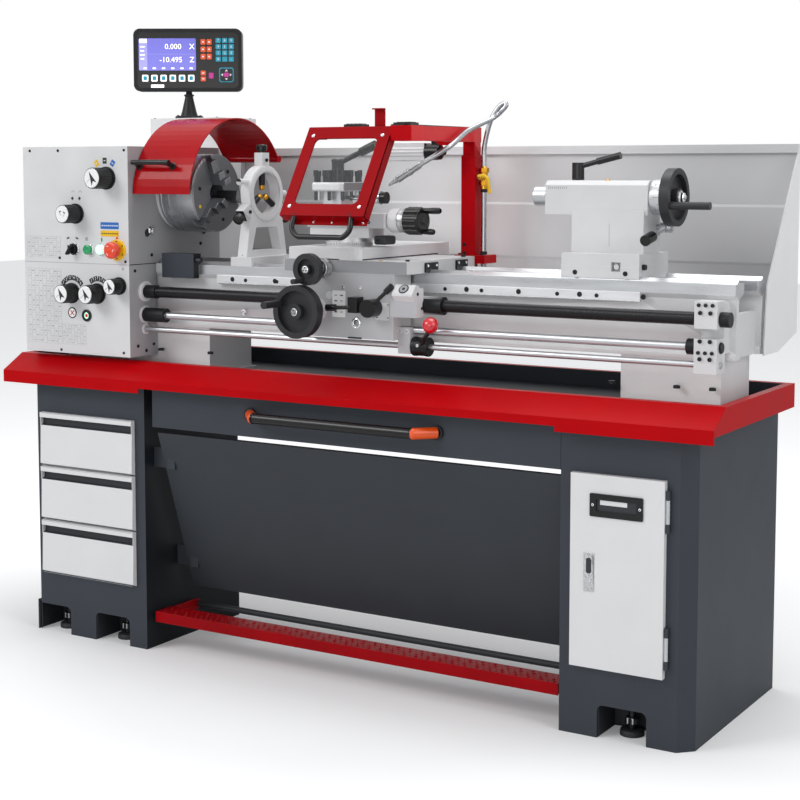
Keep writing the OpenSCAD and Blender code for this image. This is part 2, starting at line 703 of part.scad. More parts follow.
// Main motor hung under the rear of the headstock.
module motor() place() color(graphite) {
  x0 = head_x0 + 24;
  rod_x(x0, x0 + 200, motor_y, motor_z, motor_d);
  rod_x(x0 + 200, x0 + 236, motor_y, motor_z, motor_d - 6);
  for (i = [0 : 11]) translate([x0 + 20, motor_y, motor_z]) rotate([i * 30, 0, 0]) {
    translate([0, -2, motor_d / 2 - 3]) cube([160, 4, 8]);
  }
  box(x0 + 40, x0 + 150, motor_y - 40, head_d, motor_z + motor_d / 2 - 12, bed_top);
  difference() {
    rod_x(x0 - 12, x0, motor_y, motor_z, 56);
    rod_x(x0 - 13, x0 + 1 - 1, motor_y, motor_z, 24 + 2 * fit);
  }
}

module motor_pulley() place() color(steel) {
  difference() {
    union() {
      rod_x(belt_x - 11, belt_x - 8, motor_y, motor_z, 92);
      rod_x(belt_x - 8, belt_x + 8, motor_y, motor_z, 80);
      rod_x(belt_x + 8, belt_x + 11, motor_y, motor_z, 92);
      rod_x(belt_x, head_x0 + 24, motor_y, motor_z, 24);
    }
    rod_x(belt_x - 12, belt_x - 6, motor_y, motor_z, 50);
  }
}

// Coolant tank with its pump, in the foot of the right cupboard.
module coolant_tank() place() color(steel) {
  z0 = pocket_h + 9;
  difference() {
    box(right_x0 + 30, right_x1 - 40, 90, right_d - 40, z0, z0 + 190);
    box(right_x0 + 33, right_x1 - 43, 93, right_d - 43, z0 + 3, z0 + 187);
  }
  rod_z(z0 + 190, z0 + 330, right_x0 + 90, right_d - 130, 90);
  rod_z(z0 + 330, z0 + 342, right_x0 + 90, right_d - 130, 96);
}

// ---------- spindle and chuck ----------

module spindle() place() color(steel) {
  difference() {
    union() {
      rod_x(belt_x - 14, head_x1 - 1, axis_y, axis_z, spindle_d);
      rod_x(head_x1 + 0.5, nose_x, axis_y, axis_z, spindle_d + 54);
      rod_x(head_x1 - 2, head_x1 + 2, axis_y, axis_z, spindle_d);
      rod_x(belt_x - 11, belt_x - 8, axis_y, axis_z, 152);
      rod_x(belt_x - 8, belt_x + 8, axis_y, axis_z, 140);
      rod_x(belt_x + 8, belt_x + 11, axis_y, axis_z, 152);
    }
    rod_x(belt_x - 15, nose_x + 1, axis_y, axis_z, spindle_bore);
  }
}

// Chuck body with its three jaw slots, key sockets and through bore.
module chuck() place() color(steel) {
  difference() {
    union() {
      rod_x(nose_x, nose_x + 22, axis_y, axis_z, chuck_d - 6);
      rod_x(nose_x + 22, chuck_x1 - 3, axis_y, axis_z, chuck_d);
      rod_x(chuck_x1 - 3, chuck_x1, axis_y, axis_z, chuck_d - 5);
    }
    rod_x(nose_x - 1, chuck_x1 + 1, axis_y, axis_z, 58);
    for (i = [0 : 2]) translate([0, axis_y, axis_z]) rotate([i * 120 + jaw_turn, 0, 0]) {
        box(chuck_x1 - 21.3, chuck_x1 + 1, -jaw_w / 2 - slip, jaw_w / 2 + slip, 20, chuck_d);
      rotate([60, 0, 0]) translate([nose_x + 48, 0, chuck_d / 2 - 22]) {
        rotate([0, 0, 45]) cylinder(h = 30, d = 17, $fn = 4);
      }
      rotate([60, 0, 0]) rod_x(chuck_x1 - 10, chuck_x1 + 1, 0, chuck_d * 0.36, 11);
    }
  }
}

// Stepped jaw; steps rise towards the axis.
module jaw(i) {
  place() color(steel) translate([0, axis_y, axis_z]) rotate([i * 120 + jaw_turn, 0, 0]) {
    r0 = 26;
    along_y(-jaw_w / 2, jaw_w / 2, [[chuck_x1 - 21, r0], [jaw_x1, r0], [jaw_x1, r0 + 14],
      [jaw_x1 - 14, r0 + 14], [jaw_x1 - 14, r0 + 32], [jaw_x1 - 29, r0 + 32],
      [jaw_x1 - 29, r0 + 62], [chuck_x1 - 21, r0 + 62]]);
  }
}
module jaw_1() jaw(0);
module jaw_2() jaw(1);
module jaw_3() jaw(2);

// Curved sheet over the chuck, with its hinge barrel and grab handle.
module chuck_guard() place() color(red) {
  x0 = head_x1 + 4;
  x1 = x0 + guard_l;
  outer = arc(ctr_guard_y, ctr_guard_z, guard_r, hinge_a - 1, 177, 28);
  inner = arc(ctr_guard_y, ctr_guard_z, guard_r - 3, 177, hinge_a - 1, 28);
  along_x(x0, x1, concat(outer, inner));
  rod_x(x0, x1, hinge_y - 2, hinge_z - 1, 18);
  rod_x(ebox_x1 - 3, x0 + 1, hinge_y, hinge_z, 14);
  a = 157;
  c = [ctr_guard_y, ctr_guard_z];
  q = [cos(a), sin(a)];
  color(black) for (x = [x0 + 12, x0 + 118]) {
    bar([x, c[0] + (guard_r - 1) * q[0], c[1] + (guard_r - 1) * q[1]],
      [x, c[0] + (guard_r + 26) * q[0], c[1] + (guard_r + 26) * q[1]], 11);
  }
  color(black) rod_x(x0 + 6, x0 + 124, c[0] + (guard_r + 26) * q[0],
    c[1] + (guard_r + 26) * q[1], 12);
}

// ---------- front panel controls ----------

// Knob on a skirt, with its stem through the panel; p is [x from the panel edge, z].
module knob(p, d, l, stem) {
  place() color(black) translate([head_x1 + p[0], 0, p[1]]) rotate([90, 0, 0]) {
    cylinder(h = 5, d = d + 6);
    cylinder(h = l, d = d);
    translate([0, 0, -cast - 4]) cylinder(h = cast + 5, d = stem);
  }
}
module speed_knob() knob(speed_p, 52, 56, 12);
module mode_knob() knob(mode_p, 46, 52, 12);
module feed_knob_a() knob(knob_a, 47, 44, 10);
module feed_knob_b() knob(knob_b, 47, 48, 10);
module feed_knob_c() knob(knob_c, 39, 40, 10);

module selector_switch() place() color(black) translate([head_x1 + sel_p[0], 0, sel_p[1]]) {
  rotate([90, 0, 0]) {
    cylinder(h = 5, d = 30);
    cylinder(h = 12, d = 23);
    translate([-4, -11, 10]) cube([8, 22, 12]);
    translate([0, 0, -cast - 4]) cylinder(h = cast + 5, d = 12);
  }
}

module start_button() place() color(green) translate([head_x1 + start_p[0], 0, start_p[1]]) {
  rotate([90, 0, 0]) {
    translate([0, 0, 4]) cylinder(h = 7, d = 25);
    translate([0, 0, -cast - 6]) cylinder(h = cast + 11, d = 12);
  }
}

module emergency_stop() place() color(orange) translate([head_x1 + stop_p[0], 0, stop_p[1]]) {
  rotate([90, 0, 0]) {
    translate([0, 0, 16]) cylinder(h = 12, d = 42);
    translate([0, 0, 28]) cylinder(h = 4, d1 = 42, d2 = 32, $fn = 48);
    translate([0, 0, -cast - 8]) cylinder(h = cast + 25, d = 16);
  }
}

// ---------- feed rods ----------

module leadscrew() place() color(steel) {
  rod_x(head_x1 - 20, bed_x1 - 70, rod_y, lead_z, lead_d);
  rod_x(bed_x1 - 71, rods_x1 + 2, rod_y, lead_z, lead_d - 8);
  rod_x(head_x1 + 4, head_x1 + 42, rod_y, lead_z, lead_d + 6);
  rod_x(rods_x1 + 1, rods_x1 + 22, rod_y, lead_z, lead_d + 4);
}

module feed_rod() place() color(steel) {
  rod_x(head_x1 - 20, rods_x1 + 2, rod_y, feed_z, feed_d);
  rod_x(head_x1 + 2, head_x1 + 70, rod_y, feed_z, 36);
  rod_x(bed_x1 - 85, bed_x1 - 66, rod_y, feed_z, 34);
}

module control_rod() place() color(steel) {
  rod_x(head_x1 - 20, rods_x1 + 3, rod_y, ctl_z, ctl_d);
}

// Spindle start lever keyed to the control rod, with its ball knob.
module start_lever() place() color(steel) {
  x = apr_x1 + 32.4;
  difference() {
    rod_x(x, x + 42, rod_y, ctl_z, 42);
    rod_x(x - 1, x + 43, rod_y, ctl_z, ctl_d + 2 * slip);
  }
  bar([x + 30, rod_y - 17, ctl_z + 6], [x + 66, 18, ctl_z + 48], 10);
  color(red) translate([x + 69, 15, ctl_z + 55]) sphere(d = 37);
}

// ---------- carriage ----------

module saddle() place() color(light) {
  difference() {
    union() {
      box(sad_x0, sad_x1, sad_y0, sad_y1, bed_top, sad_top);
      box(sad_x0, sad_x1, bed_y1 + 1, sad_y1, bed_top - 24, bed_top);
      along_y(sad_y0 + 14, sad_y1 - 6, [[cross_x - 38, sad_top - 1], [cross_x + 38, sad_top - 1],
        [cross_x + 38, sad_top], [cross_x + 46, sad_top + 14], [cross_x - 46, sad_top + 14],
        [cross_x - 38, sad_top]]);
    }
    for (s = [-1, 1]) along_x(sad_x0 - 1, sad_x1 + 1, [
      [axis_y + s * vee_u - vee_h - 1, bed_top - 1], [axis_y + s * vee_u + vee_h + 1, bed_top - 1],
      [axis_y + s * vee_u, bed_top + vee_h + 1]]);
    rod_y(sad_y0 - 1, sad_y0 + 44, cross_x, cscrew_z, 14 + 2 * fit);
  }
  for (x = [sad_x0 + 7, sad_x1 - 16]) rod_z(sad_top, sad_top + 4, x, sad_y0 + 30, 10);
}

// Gear case of the carriage, open for the feed rods to pass.
module apron() place() color(light) {
  difference() {
    union() {
      box(apr_x0, apr_x1, apr_y0, apr_y1, apr_z0, bed_top);
      rod_y(4, apr_y0 + 1, wheel_x, wheel_z, 52);
      box(apr_x1 - 1, apr_x1 + 32, 42, 78, ctl_z - 17, apr_z0 + 30);
      box(apr_x1 - 1, apr_x1 + 66, 8, 44, lead_z - 26, lead_z + 40);
      rod_x(apr_x1 + 40, apr_x1 + 112, rod_y, lead_z, 42);
    }
    box(apr_x0 + 12, apr_x1 - 12, apr_y0 + 12, apr_y1 - 12, apr_z0 + 12, bed_top - 12);
    rod_x(apr_x0 - 1, apr_x1 + 113, rod_y, lead_z, lead_d + 2 * slip);
    rod_x(apr_x0 - 1, apr_x1 + 113, rod_y, feed_z, feed_d + 2 * slip);
    rod_x(apr_x0 - 1, apr_x1 + 113, rod_y, ctl_z, ctl_d + 2 * slip);
    rod_y(3, apr_y0 + 13, wheel_x, wheel_z, 18 + 2 * fit);
    rod_y(apr_y0 - 1, apr_y0 + 13, feed_x, bed_top - 78, 14 + 2 * fit);
    rod_y(apr_y0 - 1, apr_y0 + 13, nut_x, bed_top - 72, 14 + 2 * fit);
  }
  rod_z(lead_z + 40, lead_z + 43, apr_x1 + 34, 26, 26);
}

module feed_lever() place() color(black) translate([feed_x, 0, bed_top - 78]) {
  rod_y(-14, apr_y0 - 0.5, 0, 0, 42);
  rod_y(apr_y0 - 1, apr_y0 + 16, 0, 0, 14);
  bar([10, -6, 8], [56, -2, 50], 9);
  bar([44, -3, 39], [60, -2, 54], 15);
}

module half_nut_lever() place() color(black) translate([nut_x, 0, bed_top - 72]) {
  box(-13, 13, -8, apr_y0 - 0.5, -18, 18);
  rod_y(apr_y0 - 1, apr_y0 + 16, 0, 0, 14);
  bar([-8, -4, -6], [-66, -14, -8], 9);
  bar([-44, -10, -7.3], [-68, -14, -8], 16);
}

// Dished hand wheel in the plane y = 0, rim towards -y, with a turning handle.
module dished_wheel(d, t, grip_r, grip_a, grip_l, grip_d) {
  rotate([90, 0, 0]) {
    difference() {
      cylinder(h = t, d = d, $fn = 96);
      translate([0, 0, t * 0.45]) cylinder(h = t, d = d - 26, $fn = 96);
    }
    cylinder(h = t + 3, d = d * 0.3);
  }
  translate([grip_r * cos(grip_a), -t + 1, grip_r * sin(grip_a)]) rotate([90, 0, 0]) {
    cylinder(h = grip_l, d = grip_d);
  }
}

module carriage_wheel() place() color(black) translate([wheel_x, 0, wheel_z]) {
  translate([0, wheel_y + 24, 0]) {
    dished_wheel(carriage_wheel_d, 24, carriage_wheel_d / 2 - 13, 159, wheel_y + 1 - grip_y, 17);
  }
  rod_y(wheel_y + 23, 3.5, 0, 0, 48);
  rod_y(3, apr_y0 + 18, 0, 0, 18);
}

// Cross slide running on the saddle's dovetail.
module cross_slide() place() color(light) {
  y1 = cross_y0 + cross_l;
  difference() {
    box(cross_x - cross_w / 2, cross_x + cross_w / 2, cross_y0, y1, sad_top, cross_top);
    along_y(cross_y0 - 1, y1 + 1, [[cross_x - 38 - 1, sad_top - 1], [cross_x + 38 + 1, sad_top - 1],
      [cross_x + 39, sad_top], [cross_x + 47, sad_top + 14.5], [cross_x - 47, sad_top + 14.5],
      [cross_x - 39, sad_top]]);
    for (s = [-1, 1]) rod_z(cross_top - 8, cross_top + 1, cross_x + s * 84, cross_y0 + 30, 11);
  }
}

module cross_wheel() place() color(black) translate([cross_x, 0, cscrew_z]) {
  translate([0, -40, 0]) {
    dished_wheel(cross_wheel_d, 18, cross_wheel_d / 2 - 9, 250, 42, 12);
  }
  rod_y(-41, 20, 0, 0, 36);
  rod_y(19, sad_y0 + 42, 0, 0, 14);
}

// Swivelling base of the top slide.
module compound_base() place() color(light) {
  rod_z(cross_top, cross_top + 20, cross_x, comp_y, 112);
  along_y(comp_y - 33, comp_y + 33, [[slide_x0 + 6, cross_top + 20 - eps],
    [cross_x + 76, cross_top + 20 - eps], [cross_x + 76, comp_z], [slide_x0 + 6, comp_z]]);
  along_x(slide_x0 + 20, cross_x + 60, [[comp_y - 16, comp_z - eps], [comp_y + 16, comp_z - eps],
    [comp_y + 21, comp_z + 10], [comp_y - 21, comp_z + 10]]);
}

module top_slide() place() color(light) {
  difference() {
    union() {
      box(slide_x0, slide_x1, comp_y - 37, comp_y + 37, comp_z, tpost_z);
      rod_z(tpost_z, tpost_z + 95, tpost_x, comp_y, 18);
    }
    along_x(slide_x0 - 1, slide_x1 - 16, [[comp_y - 17, comp_z - 1], [comp_y + 17, comp_z - 1],
      [comp_y + 22, comp_z + 10.5], [comp_y - 22, comp_z + 10.5]]);
    rod_x(slide_x1 - 24, slide_x1 + 1, comp_y, twheel_z, 12 + 2 * fit);
  }
}

// Graduated dial, ball-crank wheel and handles of the top slide.
module top_wheel() place() color(black) {
  rod_x(slide_x1 - 22, slide_x1 + 20, comp_y, twheel_z, 12);
  rod_x(slide_x1 + 0.6, slide_x1 + 46, comp_y, twheel_z, 54);
  rod_x(slide_x1 + 45, slide_x1 + 84, comp_y, twheel_z, 62);
  rod_x(slide_x1 + 84, slide_x1 + 132, comp_y, twheel_z + 24, 11);
  rod_x(slide_x1 + 84, slide_x1 + 115, comp_y, twheel_z - 25, 11);
}

// Four-way tool post with its clamping screws.
module tool_post() place() color(steel) translate([tpost_x, comp_y, tpost_z]) {
  w = post_w / 2;
  difference() {
    union() {
      box(-w, w, -w, w, 0, 17);
      box(-w + 15, w - 15, -w + 15, w - 15, 16, 53);
      box(-w, w, -w, w, 52, 73);
    }
    rod_z(-1, 74, 0, 0, 18 + 2 * fit);
  }
  for (i = [-1, 0, 1]) for (s = [-1, 1]) {
    screw_down([i * (w - 8), s * (w - 8)]);
  }
  for (s = [-1, 1]) screw_down([s * (w - 8), 0]);
  rod_x(w - 16, w + 54, 0, 37, 12);
  rod_x(w + 53, w + 82, 0, 37, 31);
  rod_x(w + 81, w + 97, 0, 37, 28);
}
module screw_down(p) {
  rod_z(32, 92, p[0], p[1], 9);
  rod_z(88, 100, p[0], p[1], 12);
}

module clamp_lever() place() color(black) translate([tpost_x, comp_y, tpost_z]) {
  difference() {
    rod_z(73, 128, 0, 0, 30);
    rod_z(72, 96, 0, 0, 18 + 2 * fit);
  }
  bar([8, 0, 120], [70, 0, 146], 12);
  bar([66, 0, 144.4], [108, 0, 162], 22);
}

// Red pillar, arm and hinge rod that carry the tool guard, with the work lamp.
module guard_post() place() color(red) {
  difference() {
    union() {
      box(gpost_x - 31, gpost_x + 52, sad_y1, gpost_y + 32, sad_top - 18, sad_top + 2);
      box(gpost_x - 16, gpost_x + 16, sad_y1, gpost_y + 2, bed_top - 24, sad_top - 16);
      box(gpost_x - 19, gpost_x + 19, gpost_y - 19, gpost_y + 19, sad_top, arm_z - 32);
      box(gpost_x - 16, gpost_x + 16, gpost_y - 16, gpost_y + 16, arm_z - 33, arm_z);
      box(gpost_x - 17, gpost_x + 17, arm_y0, gpost_y + 17, arm_z, arm_z + 36);
    }
    rod_z(sad_top - 30, sad_top + 10, pipe_x, gpost_y, 13 + 2 * fit);
  }
  box(gpost_x - 18, gpost_x + 38, 20, 72, arm_z - 2, arm_z + 33);
  rod_x(gate_x1 - gate_w + 6, gpost_x - 15, gate_y + 16, arm_z + 14, 12);
  color(black) box(gpost_x - 16, gpost_x + 30, 30, 66, arm_z + 32, arm_z + 40);
  color(pale) {
    rod_x(gpost_x - 214, gpost_x - 84, 300, arm_z - 24, 40);
    box(gpost_x - 190, gpost_x - 84, 284, 316, arm_z - 44, arm_z - 2);
  }
  color(black) rod_x(gpost_x - 85, gpost_x - 48, 300, arm_z - 24, 38);
  box(gpost_x - 70, gpost_x - 10, 294, 306, arm_z - 8, arm_z + 8);
}

// Hinged frame with a clear window, its grab handle and its stop tab.
module tool_guard() place() color(red) difference() {
  guard_frame();
  rod_x(gate_x1 - gate_w - 1, gate_x1 + 1, gate_y + 16, arm_z + 14, 12 + 2 * fit);
}
module guard_frame() {
  l = gate_l;
  xm = gate_x1 - gate_w / 2;
  yb = gate_y - gate_l * sin(gate_tilt);
  zb = gate_z - gate_l * cos(gate_tilt);
  translate([xm, gate_y, gate_z]) rotate([-gate_tilt, 0, 0]) {
    rotate([90, 0, 0]) translate([0, -l / 2, 0]) {
      difference() {
        linear_extrude(4) square([gate_w, l], center = true);
        translate([0, 0, -1]) linear_extrude(6) round_rect(gate_w - 56, l - 62, 12);
      }
      color(pale) translate([0, 0, -5]) linear_extrude(5) {
        square([gate_w - 40, l - 46], center = true);
      }
    }
    for (s = [-1, 1]) box(s * (gate_w / 2 - 1.5) - 1.5, s * (gate_w / 2 - 1.5) + 1.5,
      -4, 22, -l, 0);
    box(-gate_w / 2, gate_w / 2, -4, 22, -l, -l + 3);
    box(-gate_w / 2, gate_w / 2, -4, 14, -3, 0);
  }
  color(black) bent_bar([[xm - 76, yb + 8, zb + 6], [xm - 80, yb - 4, zb - 24],
    [xm - 62, yb - 8, zb - 46], [xm + 62, yb - 8, zb - 46], [xm + 80, yb - 4, zb - 24],
    [xm + 76, yb + 8, zb + 6]], 13);
  for (x = [gate_x1 - gate_w + 12, gate_x1 - 34]) {
    rod_x(x, x + 22, gate_y + 16, arm_z + 14, 22);
    box(x, x + 22, gate_y + 2, gate_y + 16, arm_z + 14, arm_z + 27);
  }
  box(gate_x1 - 52, gate_x1 - 24, gate_y + 2, gate_y + 5, gate_z - 4, gate_z + 42);
  box(gate_x1 - 52, gate_x1 - 24, gate_y - 10, gate_y + 5, gate_z + 40, gate_z + 43);
}

// Rising coolant pipe, shut-off cock and self-supporting metal nozzle tube.
module coolant_pipe() place() color(steel) {
  z1 = sad_top + 165;
  rod_z(bed_top - 24, z1, pipe_x, gpost_y, 13);
  color(brass) {
    rod_z(z1 - 2, z1 + 52, pipe_x, gpost_y, 18);
    translate([pipe_x, gpost_y, z1 + 6]) cylinder(h = 12, d = 25, $fn = 6);
    translate([pipe_x, gpost_y, z1 + 38]) cylinder(h = 12, d = 25, $fn = 6);
    rod_y(gpost_y - 22, gpost_y, pipe_x, z1 + 27, 14);
    bent_bar([[pipe_x, gpost_y - 22, z1 + 27], [pipe_x + 24, gpost_y - 22, z1 + 25],
      [pipe_x + 28, gpost_y - 22, z1 - 12]], 8);
  }
  bent_bar(hose_points, 11);
  bar(hose_points[len(hose_points) - 2], hose_points[len(hose_points) - 1], 17);
  v = unit(hose_points[len(hose_points) - 1] - hose_points[len(hose_points) - 2]);
  bar(hose_points[len(hose_points) - 1] - v * 2, hose_points[len(hose_points) - 1] + v * 26, 9);
}

// ---------- tailstock and steady rest ----------

module tailstock() place() color(light) {
  difference() {
    union() {
      box(tail_x0, tail_x1, tail_y0, tail_y1, bed_top, bed_top + 28);
      box(tail_x0, tail_x1, tail_y0 + 1, tail_y1 - 1, bed_top + 28, bed_top + 56);
      box(tail_x0 + 8, tail_x1 - 6, axis_y - 46, axis_y + 46, bed_top + 55, axis_z - 30);
      along_x(barrel_x0, tail_x1, [[axis_y - 40, axis_z - 40], [axis_y + 40, axis_z - 40],
        [axis_y + 40, axis_z + 26], [axis_y + 30, axis_z + 36], [axis_y - 30, axis_z + 36],
        [axis_y - 40, axis_z + 26]]);
    }
    for (s = [-1, 1]) along_x(tail_x0 - 1, tail_x1 + 1, [
      [axis_y + s * vee_u - vee_h - 1, bed_top - 1], [axis_y + s * vee_u + vee_h + 1, bed_top - 1],
      [axis_y + s * vee_u, bed_top + vee_h + 1]]);
    rod_x(barrel_x0 - 1, tail_x1 - 30, axis_y, axis_z, quill_d + 2 * fit);
    rod_x(tail_x1 - 31, tail_x1 + 1, axis_y, axis_z, 16 + 2 * fit);
    rod_z(axis_z, axis_z + 40, barrel_x0 + 48, axis_y + 30, 10 + 2 * fit);
    rod_x(tail_x1 - 40, tail_x1 + 1, axis_y + 30, bed_top + 112, 14 + 2 * fit);
    box(tail_x0 + 120, tail_x0 + 142, tail_y0 - 1, tail_y0 + 16, bed_top + 18, bed_top + 38);
  }
  rod_y(tail_y0 + 4, tail_y0 + 17, tail_x0 + 131, bed_top + 28, 12);
  rod_x(tail_x1 - 1, tail_x1 + 8, tail_y0 + 20, bed_top + 28, 12);
  box(tail_x0 + 30, tail_x1 - 30, axis_y - 41, axis_y + 41, bed_top - 60, bed_top - 36);
  rod_z(bed_top - 37, bed_top + 1, (tail_x0 + tail_x1) / 2, axis_y, 20);
}

module quill() place() color(steel) difference() {
  rod_x(quill_x0, tail_x1 - 60, axis_y, axis_z, quill_d);
  rod_x(quill_x0 - 1, quill_x0 + 80, axis_y, axis_z, quill_d * 0.5);
}

module tail_wheel() place() color(black) {
  rod_x(tail_x1 - 28, tail_x1 + 60, axis_y, axis_z, 16);
  color(steel) rod_x(tail_x1 + 0.6, tail_x1 + 34, axis_y, axis_z, 76);
  translate([tail_x1 + 34, axis_y, axis_z]) rotate([0, 0, 90]) {
    dished_wheel(tail_wheel_d, 22, tail_wheel_d / 2 - 13, 200, 1, 17);
  }
  rod_x(tail_x1 + 33, tail_x1 + 44, axis_y, axis_z, 44);
  rod_x(tail_x1 + 55, tail_x1 + 146, axis_y - 47, axis_z - 17, 17);
}

module quill_lock() place() color(black) {
  x = barrel_x0 + 48;
  y = axis_y + 30;
  rod_z(axis_z + 24, axis_z + 38, x, y, 10);
  rod_z(axis_z + 36.5, axis_z + 76, x, y, 28);
  bar([x + 8, y, axis_z + 68], [x + 62, y, axis_z + 82], 12);
  bar([x + 48, y, axis_z + 78.4], [x + 104, y, axis_z + 92], 16);
}

module tail_clamp() place() color(steel) {
  y = axis_y + 30;
  z = bed_top + 112;
  rod_x(tail_x1 - 38, tail_x1 + 30, y, z, 14);
  rod_x(tail_x1 + 4, tail_x1 + 28, y, z, 24);
  bar([tail_x1 + 18, y - 4, z], [tail_x1 + 18, y - 92, z - 18], 10);
  color(black) bar([tail_x1 + 18, y - 86, z - 17], [tail_x1 + 18, y - 124, z - 25], 24);
}

// Steady rest: ring, legs, clamping foot, three bronze-tipped fingers and their knobs.
module steady_rest() place() color(light) {
  x0 = steady_x - 14;
  x1 = steady_x + 14;
  r = steady_d / 2;
  difference() {
    union() {
      rod_x(x0, x1, axis_y, axis_z, steady_d);
      along_x(x0, x1, [[axis_y - 60, axis_z - 20], [axis_y - 86, bed_top + 20],
        [axis_y - 86, bed_top], [axis_y + 86, bed_top], [axis_y + 86, bed_top + 20],
        [axis_y + 60, axis_z - 20]]);
      box(x0 - 18, x1 + 18, axis_y - 90, axis_y + 90, bed_top, bed_top + 22);
      for (a = [90, 212, 328]) translate([0, axis_y, axis_z]) rotate([a - 90, 0, 0]) {
        box(x0 + 2, x1 - 2, -15, 15, r - 12, r + 32);
      }
    }
    rod_x(x0 - 1, x1 + 1, axis_y, axis_z, steady_d - 36);
    along_x(x0 - 1, x1 + 1, [[axis_y - 44, axis_z - 84], [axis_y - 62, bed_top + 38],
      [axis_y + 62, bed_top + 38], [axis_y + 44, axis_z - 84]]);
    for (s = [-1, 1]) along_x(x0 - 20, x1 + 20, [
      [axis_y + s * vee_u - vee_h - 1, bed_top - 1], [axis_y + s * vee_u + vee_h + 1, bed_top - 1],
      [axis_y + s * vee_u, bed_top + vee_h + 1]]);
  }
  color(brass) for (a = [90, 212, 328]) translate([0, axis_y, axis_z]) rotate([a - 90, 0, 0]) {
    rod_z(22, r + 2, steady_x, 0, 15);
  }
  color(black) for (a = [90, 212, 328]) translate([0, axis_y, axis_z]) rotate([a - 90, 0, 0]) {
    rod_z(r + 31, r + 38, steady_x, 0, 12);
    rod_z(r + 37, r + 52, steady_x, 0, 26);
  }
  rod_y(axis_y - r - 26, axis_y - r + 12, steady_x, axis_z + 30, 16);
  rod_y(axis_y + r - 14, axis_y + r + 26, steady_x, axis_z, 16);
  box(x0, x1, axis_y - 41, axis_y + 41, bed_top - 52, bed_top - 32);
  rod_z(bed_top - 33, bed_top + 1, steady_x, axis_y, 18);
}

// ---------- cupboard and drawers ----------

// Drawer box with its proud front: a grip strip on top, a recess and the face.
module drawer(i) {
  place() color(pale) translate([left_mid, 0, drawer_z + (2 - i) * drawer_pitch]) {
    w = drawer_w / 2;
    along_x(-w, w, [[0, 0], [-front_t, 6], [-front_t + 3, drawer_h - 34], [-2, drawer_h - 30],
      [-2, drawer_h - 14], [-front_t, drawer_h - 13], [-front_t, drawer_h], [0, drawer_h]]);
    for (s = [-1, 1]) box(s * (w - 0.75) - 0.75, s * (w - 0.75) + 0.75, -front_t + 2, 0,
      drawer_h - 36, drawer_h - 10);
    difference() {
      box(-w + 13, w - 13, -eps, drawer_d, 14, drawer_h - 24);
      box(-w + 14.5, w - 14.5, 1.5, drawer_d - 1.5, 15.5, drawer_h);
    }
  }
}
module drawer_1() drawer(0);
module drawer_2() drawer(1);
module drawer_3() drawer(2);

// Folded cupboard door with its recessed handle, lock and hinge barrels.
module cabinet_door() place() color(pale) {
  difference() {
    box(door_x0, door_x1, -front_t, 0, door_z, door_z + door_h);
    box(door_x0 + 3, door_x1 - 3, -front_t + 2, 1, door_z + 3, door_z + door_h - 3);
    box(door_x0 + 52, door_x0 + 163, -front_t - 1, 1, door_z + door_h - 85, door_z + door_h - 45);
  }
  color(black) difference() {
    box(door_x0 + 49, door_x0 + 166, -front_t - 1.5, -front_t + 5, door_z + door_h - 88,
      door_z + door_h - 42);
    box(door_x0 + 60, door_x0 + 155, -front_t - 2, -front_t + 2, door_z + door_h - 78,
      door_z + door_h - 52);
  }
  color(steel) box(door_x0 + 33, door_x0 + 57, -front_t - 2, -front_t + 1, door_z + 168,
    door_z + 252);
  for (z = door_hinges) difference() {
    union() {
      rod_z(z, z + 50, door_x1 + 5, -7, 10);
      box(door_x1 - 3, door_x1 + 5, -9, -5, z, z + 50);
    }
    rod_z(z - 1, z + 51, door_x1 + 5, -7, 5 + 2 * fit);
  }
}

// Pull-out tray under the chip pan, with its front panel and handle.
module chip_drawer() place() color(graphite) {
  x0 = chip_x0;
  x1 = chip_x1;
  z0 = chip_z0;
  box(x0, x1, 0, sheet, z0, chip_z1);
  difference() {
    box(x0 + 8, x1 - 8, sheet - 1, tray_back - 70, z0 + 20, chip_z1 - 16);
    box(x0 + 10, x1 - 10, sheet, tray_back - 72, z0 + 22, chip_z1);
  }
  c = (x0 + x1) / 2;
  zh = z0 + 55;
  color(black) rod_x(c - pull_w / 2 + 46, c + pull_w / 2 - 46, pull_y, zh, 25);
  color(orange) for (s = [-1, 1]) {
    bar([c + s * (pull_w / 2 - 48), pull_y, zh], [c + s * (pull_w / 2 - 10), -2, zh], 26);
    translate([c + s * (pull_w / 2 - 48), pull_y, zh]) sphere(d = 27);
    rod_y(-6, 1, c + s * (pull_w / 2 - 10), zh, 34);
  }
}

// Full-width brake pedal on its pivot shaft.
module foot_brake() place() color(dark_red) {
  x0 = left_x1 + 12;
  x1 = right_x0 - 12;
  along_x(x0, x1, folded([[20, tread_z - 27], [20, tread_z], [20 + tread_d, tread_z],
    [20 + tread_d, tread_z - 20]], -sheet));
  for (x = [x0, x1 - 6]) along_x(x, x + 6, [[24, tread_z - 24], [24, tread_z - 2],
    [20 + tread_d, tread_z - 2], [pivot_y, pivot_z + 14], [pivot_y + 14, pivot_z],
    [pivot_y, pivot_z - 14], [20 + tread_d, tread_z - 30]]);
  rod_x(left_x1 - sheet - 6, right_x0 + sheet + 6, pivot_y, pivot_z, pivot_d);
}

// Position display on its stem.
module position_display() place() color(black) translate([stem_x, stem_y, stem_top]) {
  rotate([0, 0, display_turn]) {
    difference() {
      translate([0, 21, display_h / 2]) rotate([90, 0, 0]) {
        linear_extrude(42) round_rect(display_w, display_h, 18);
      }
      rod_z(-1, 15, 0, 0, 14 + 2 * fit);
    }
  }
}

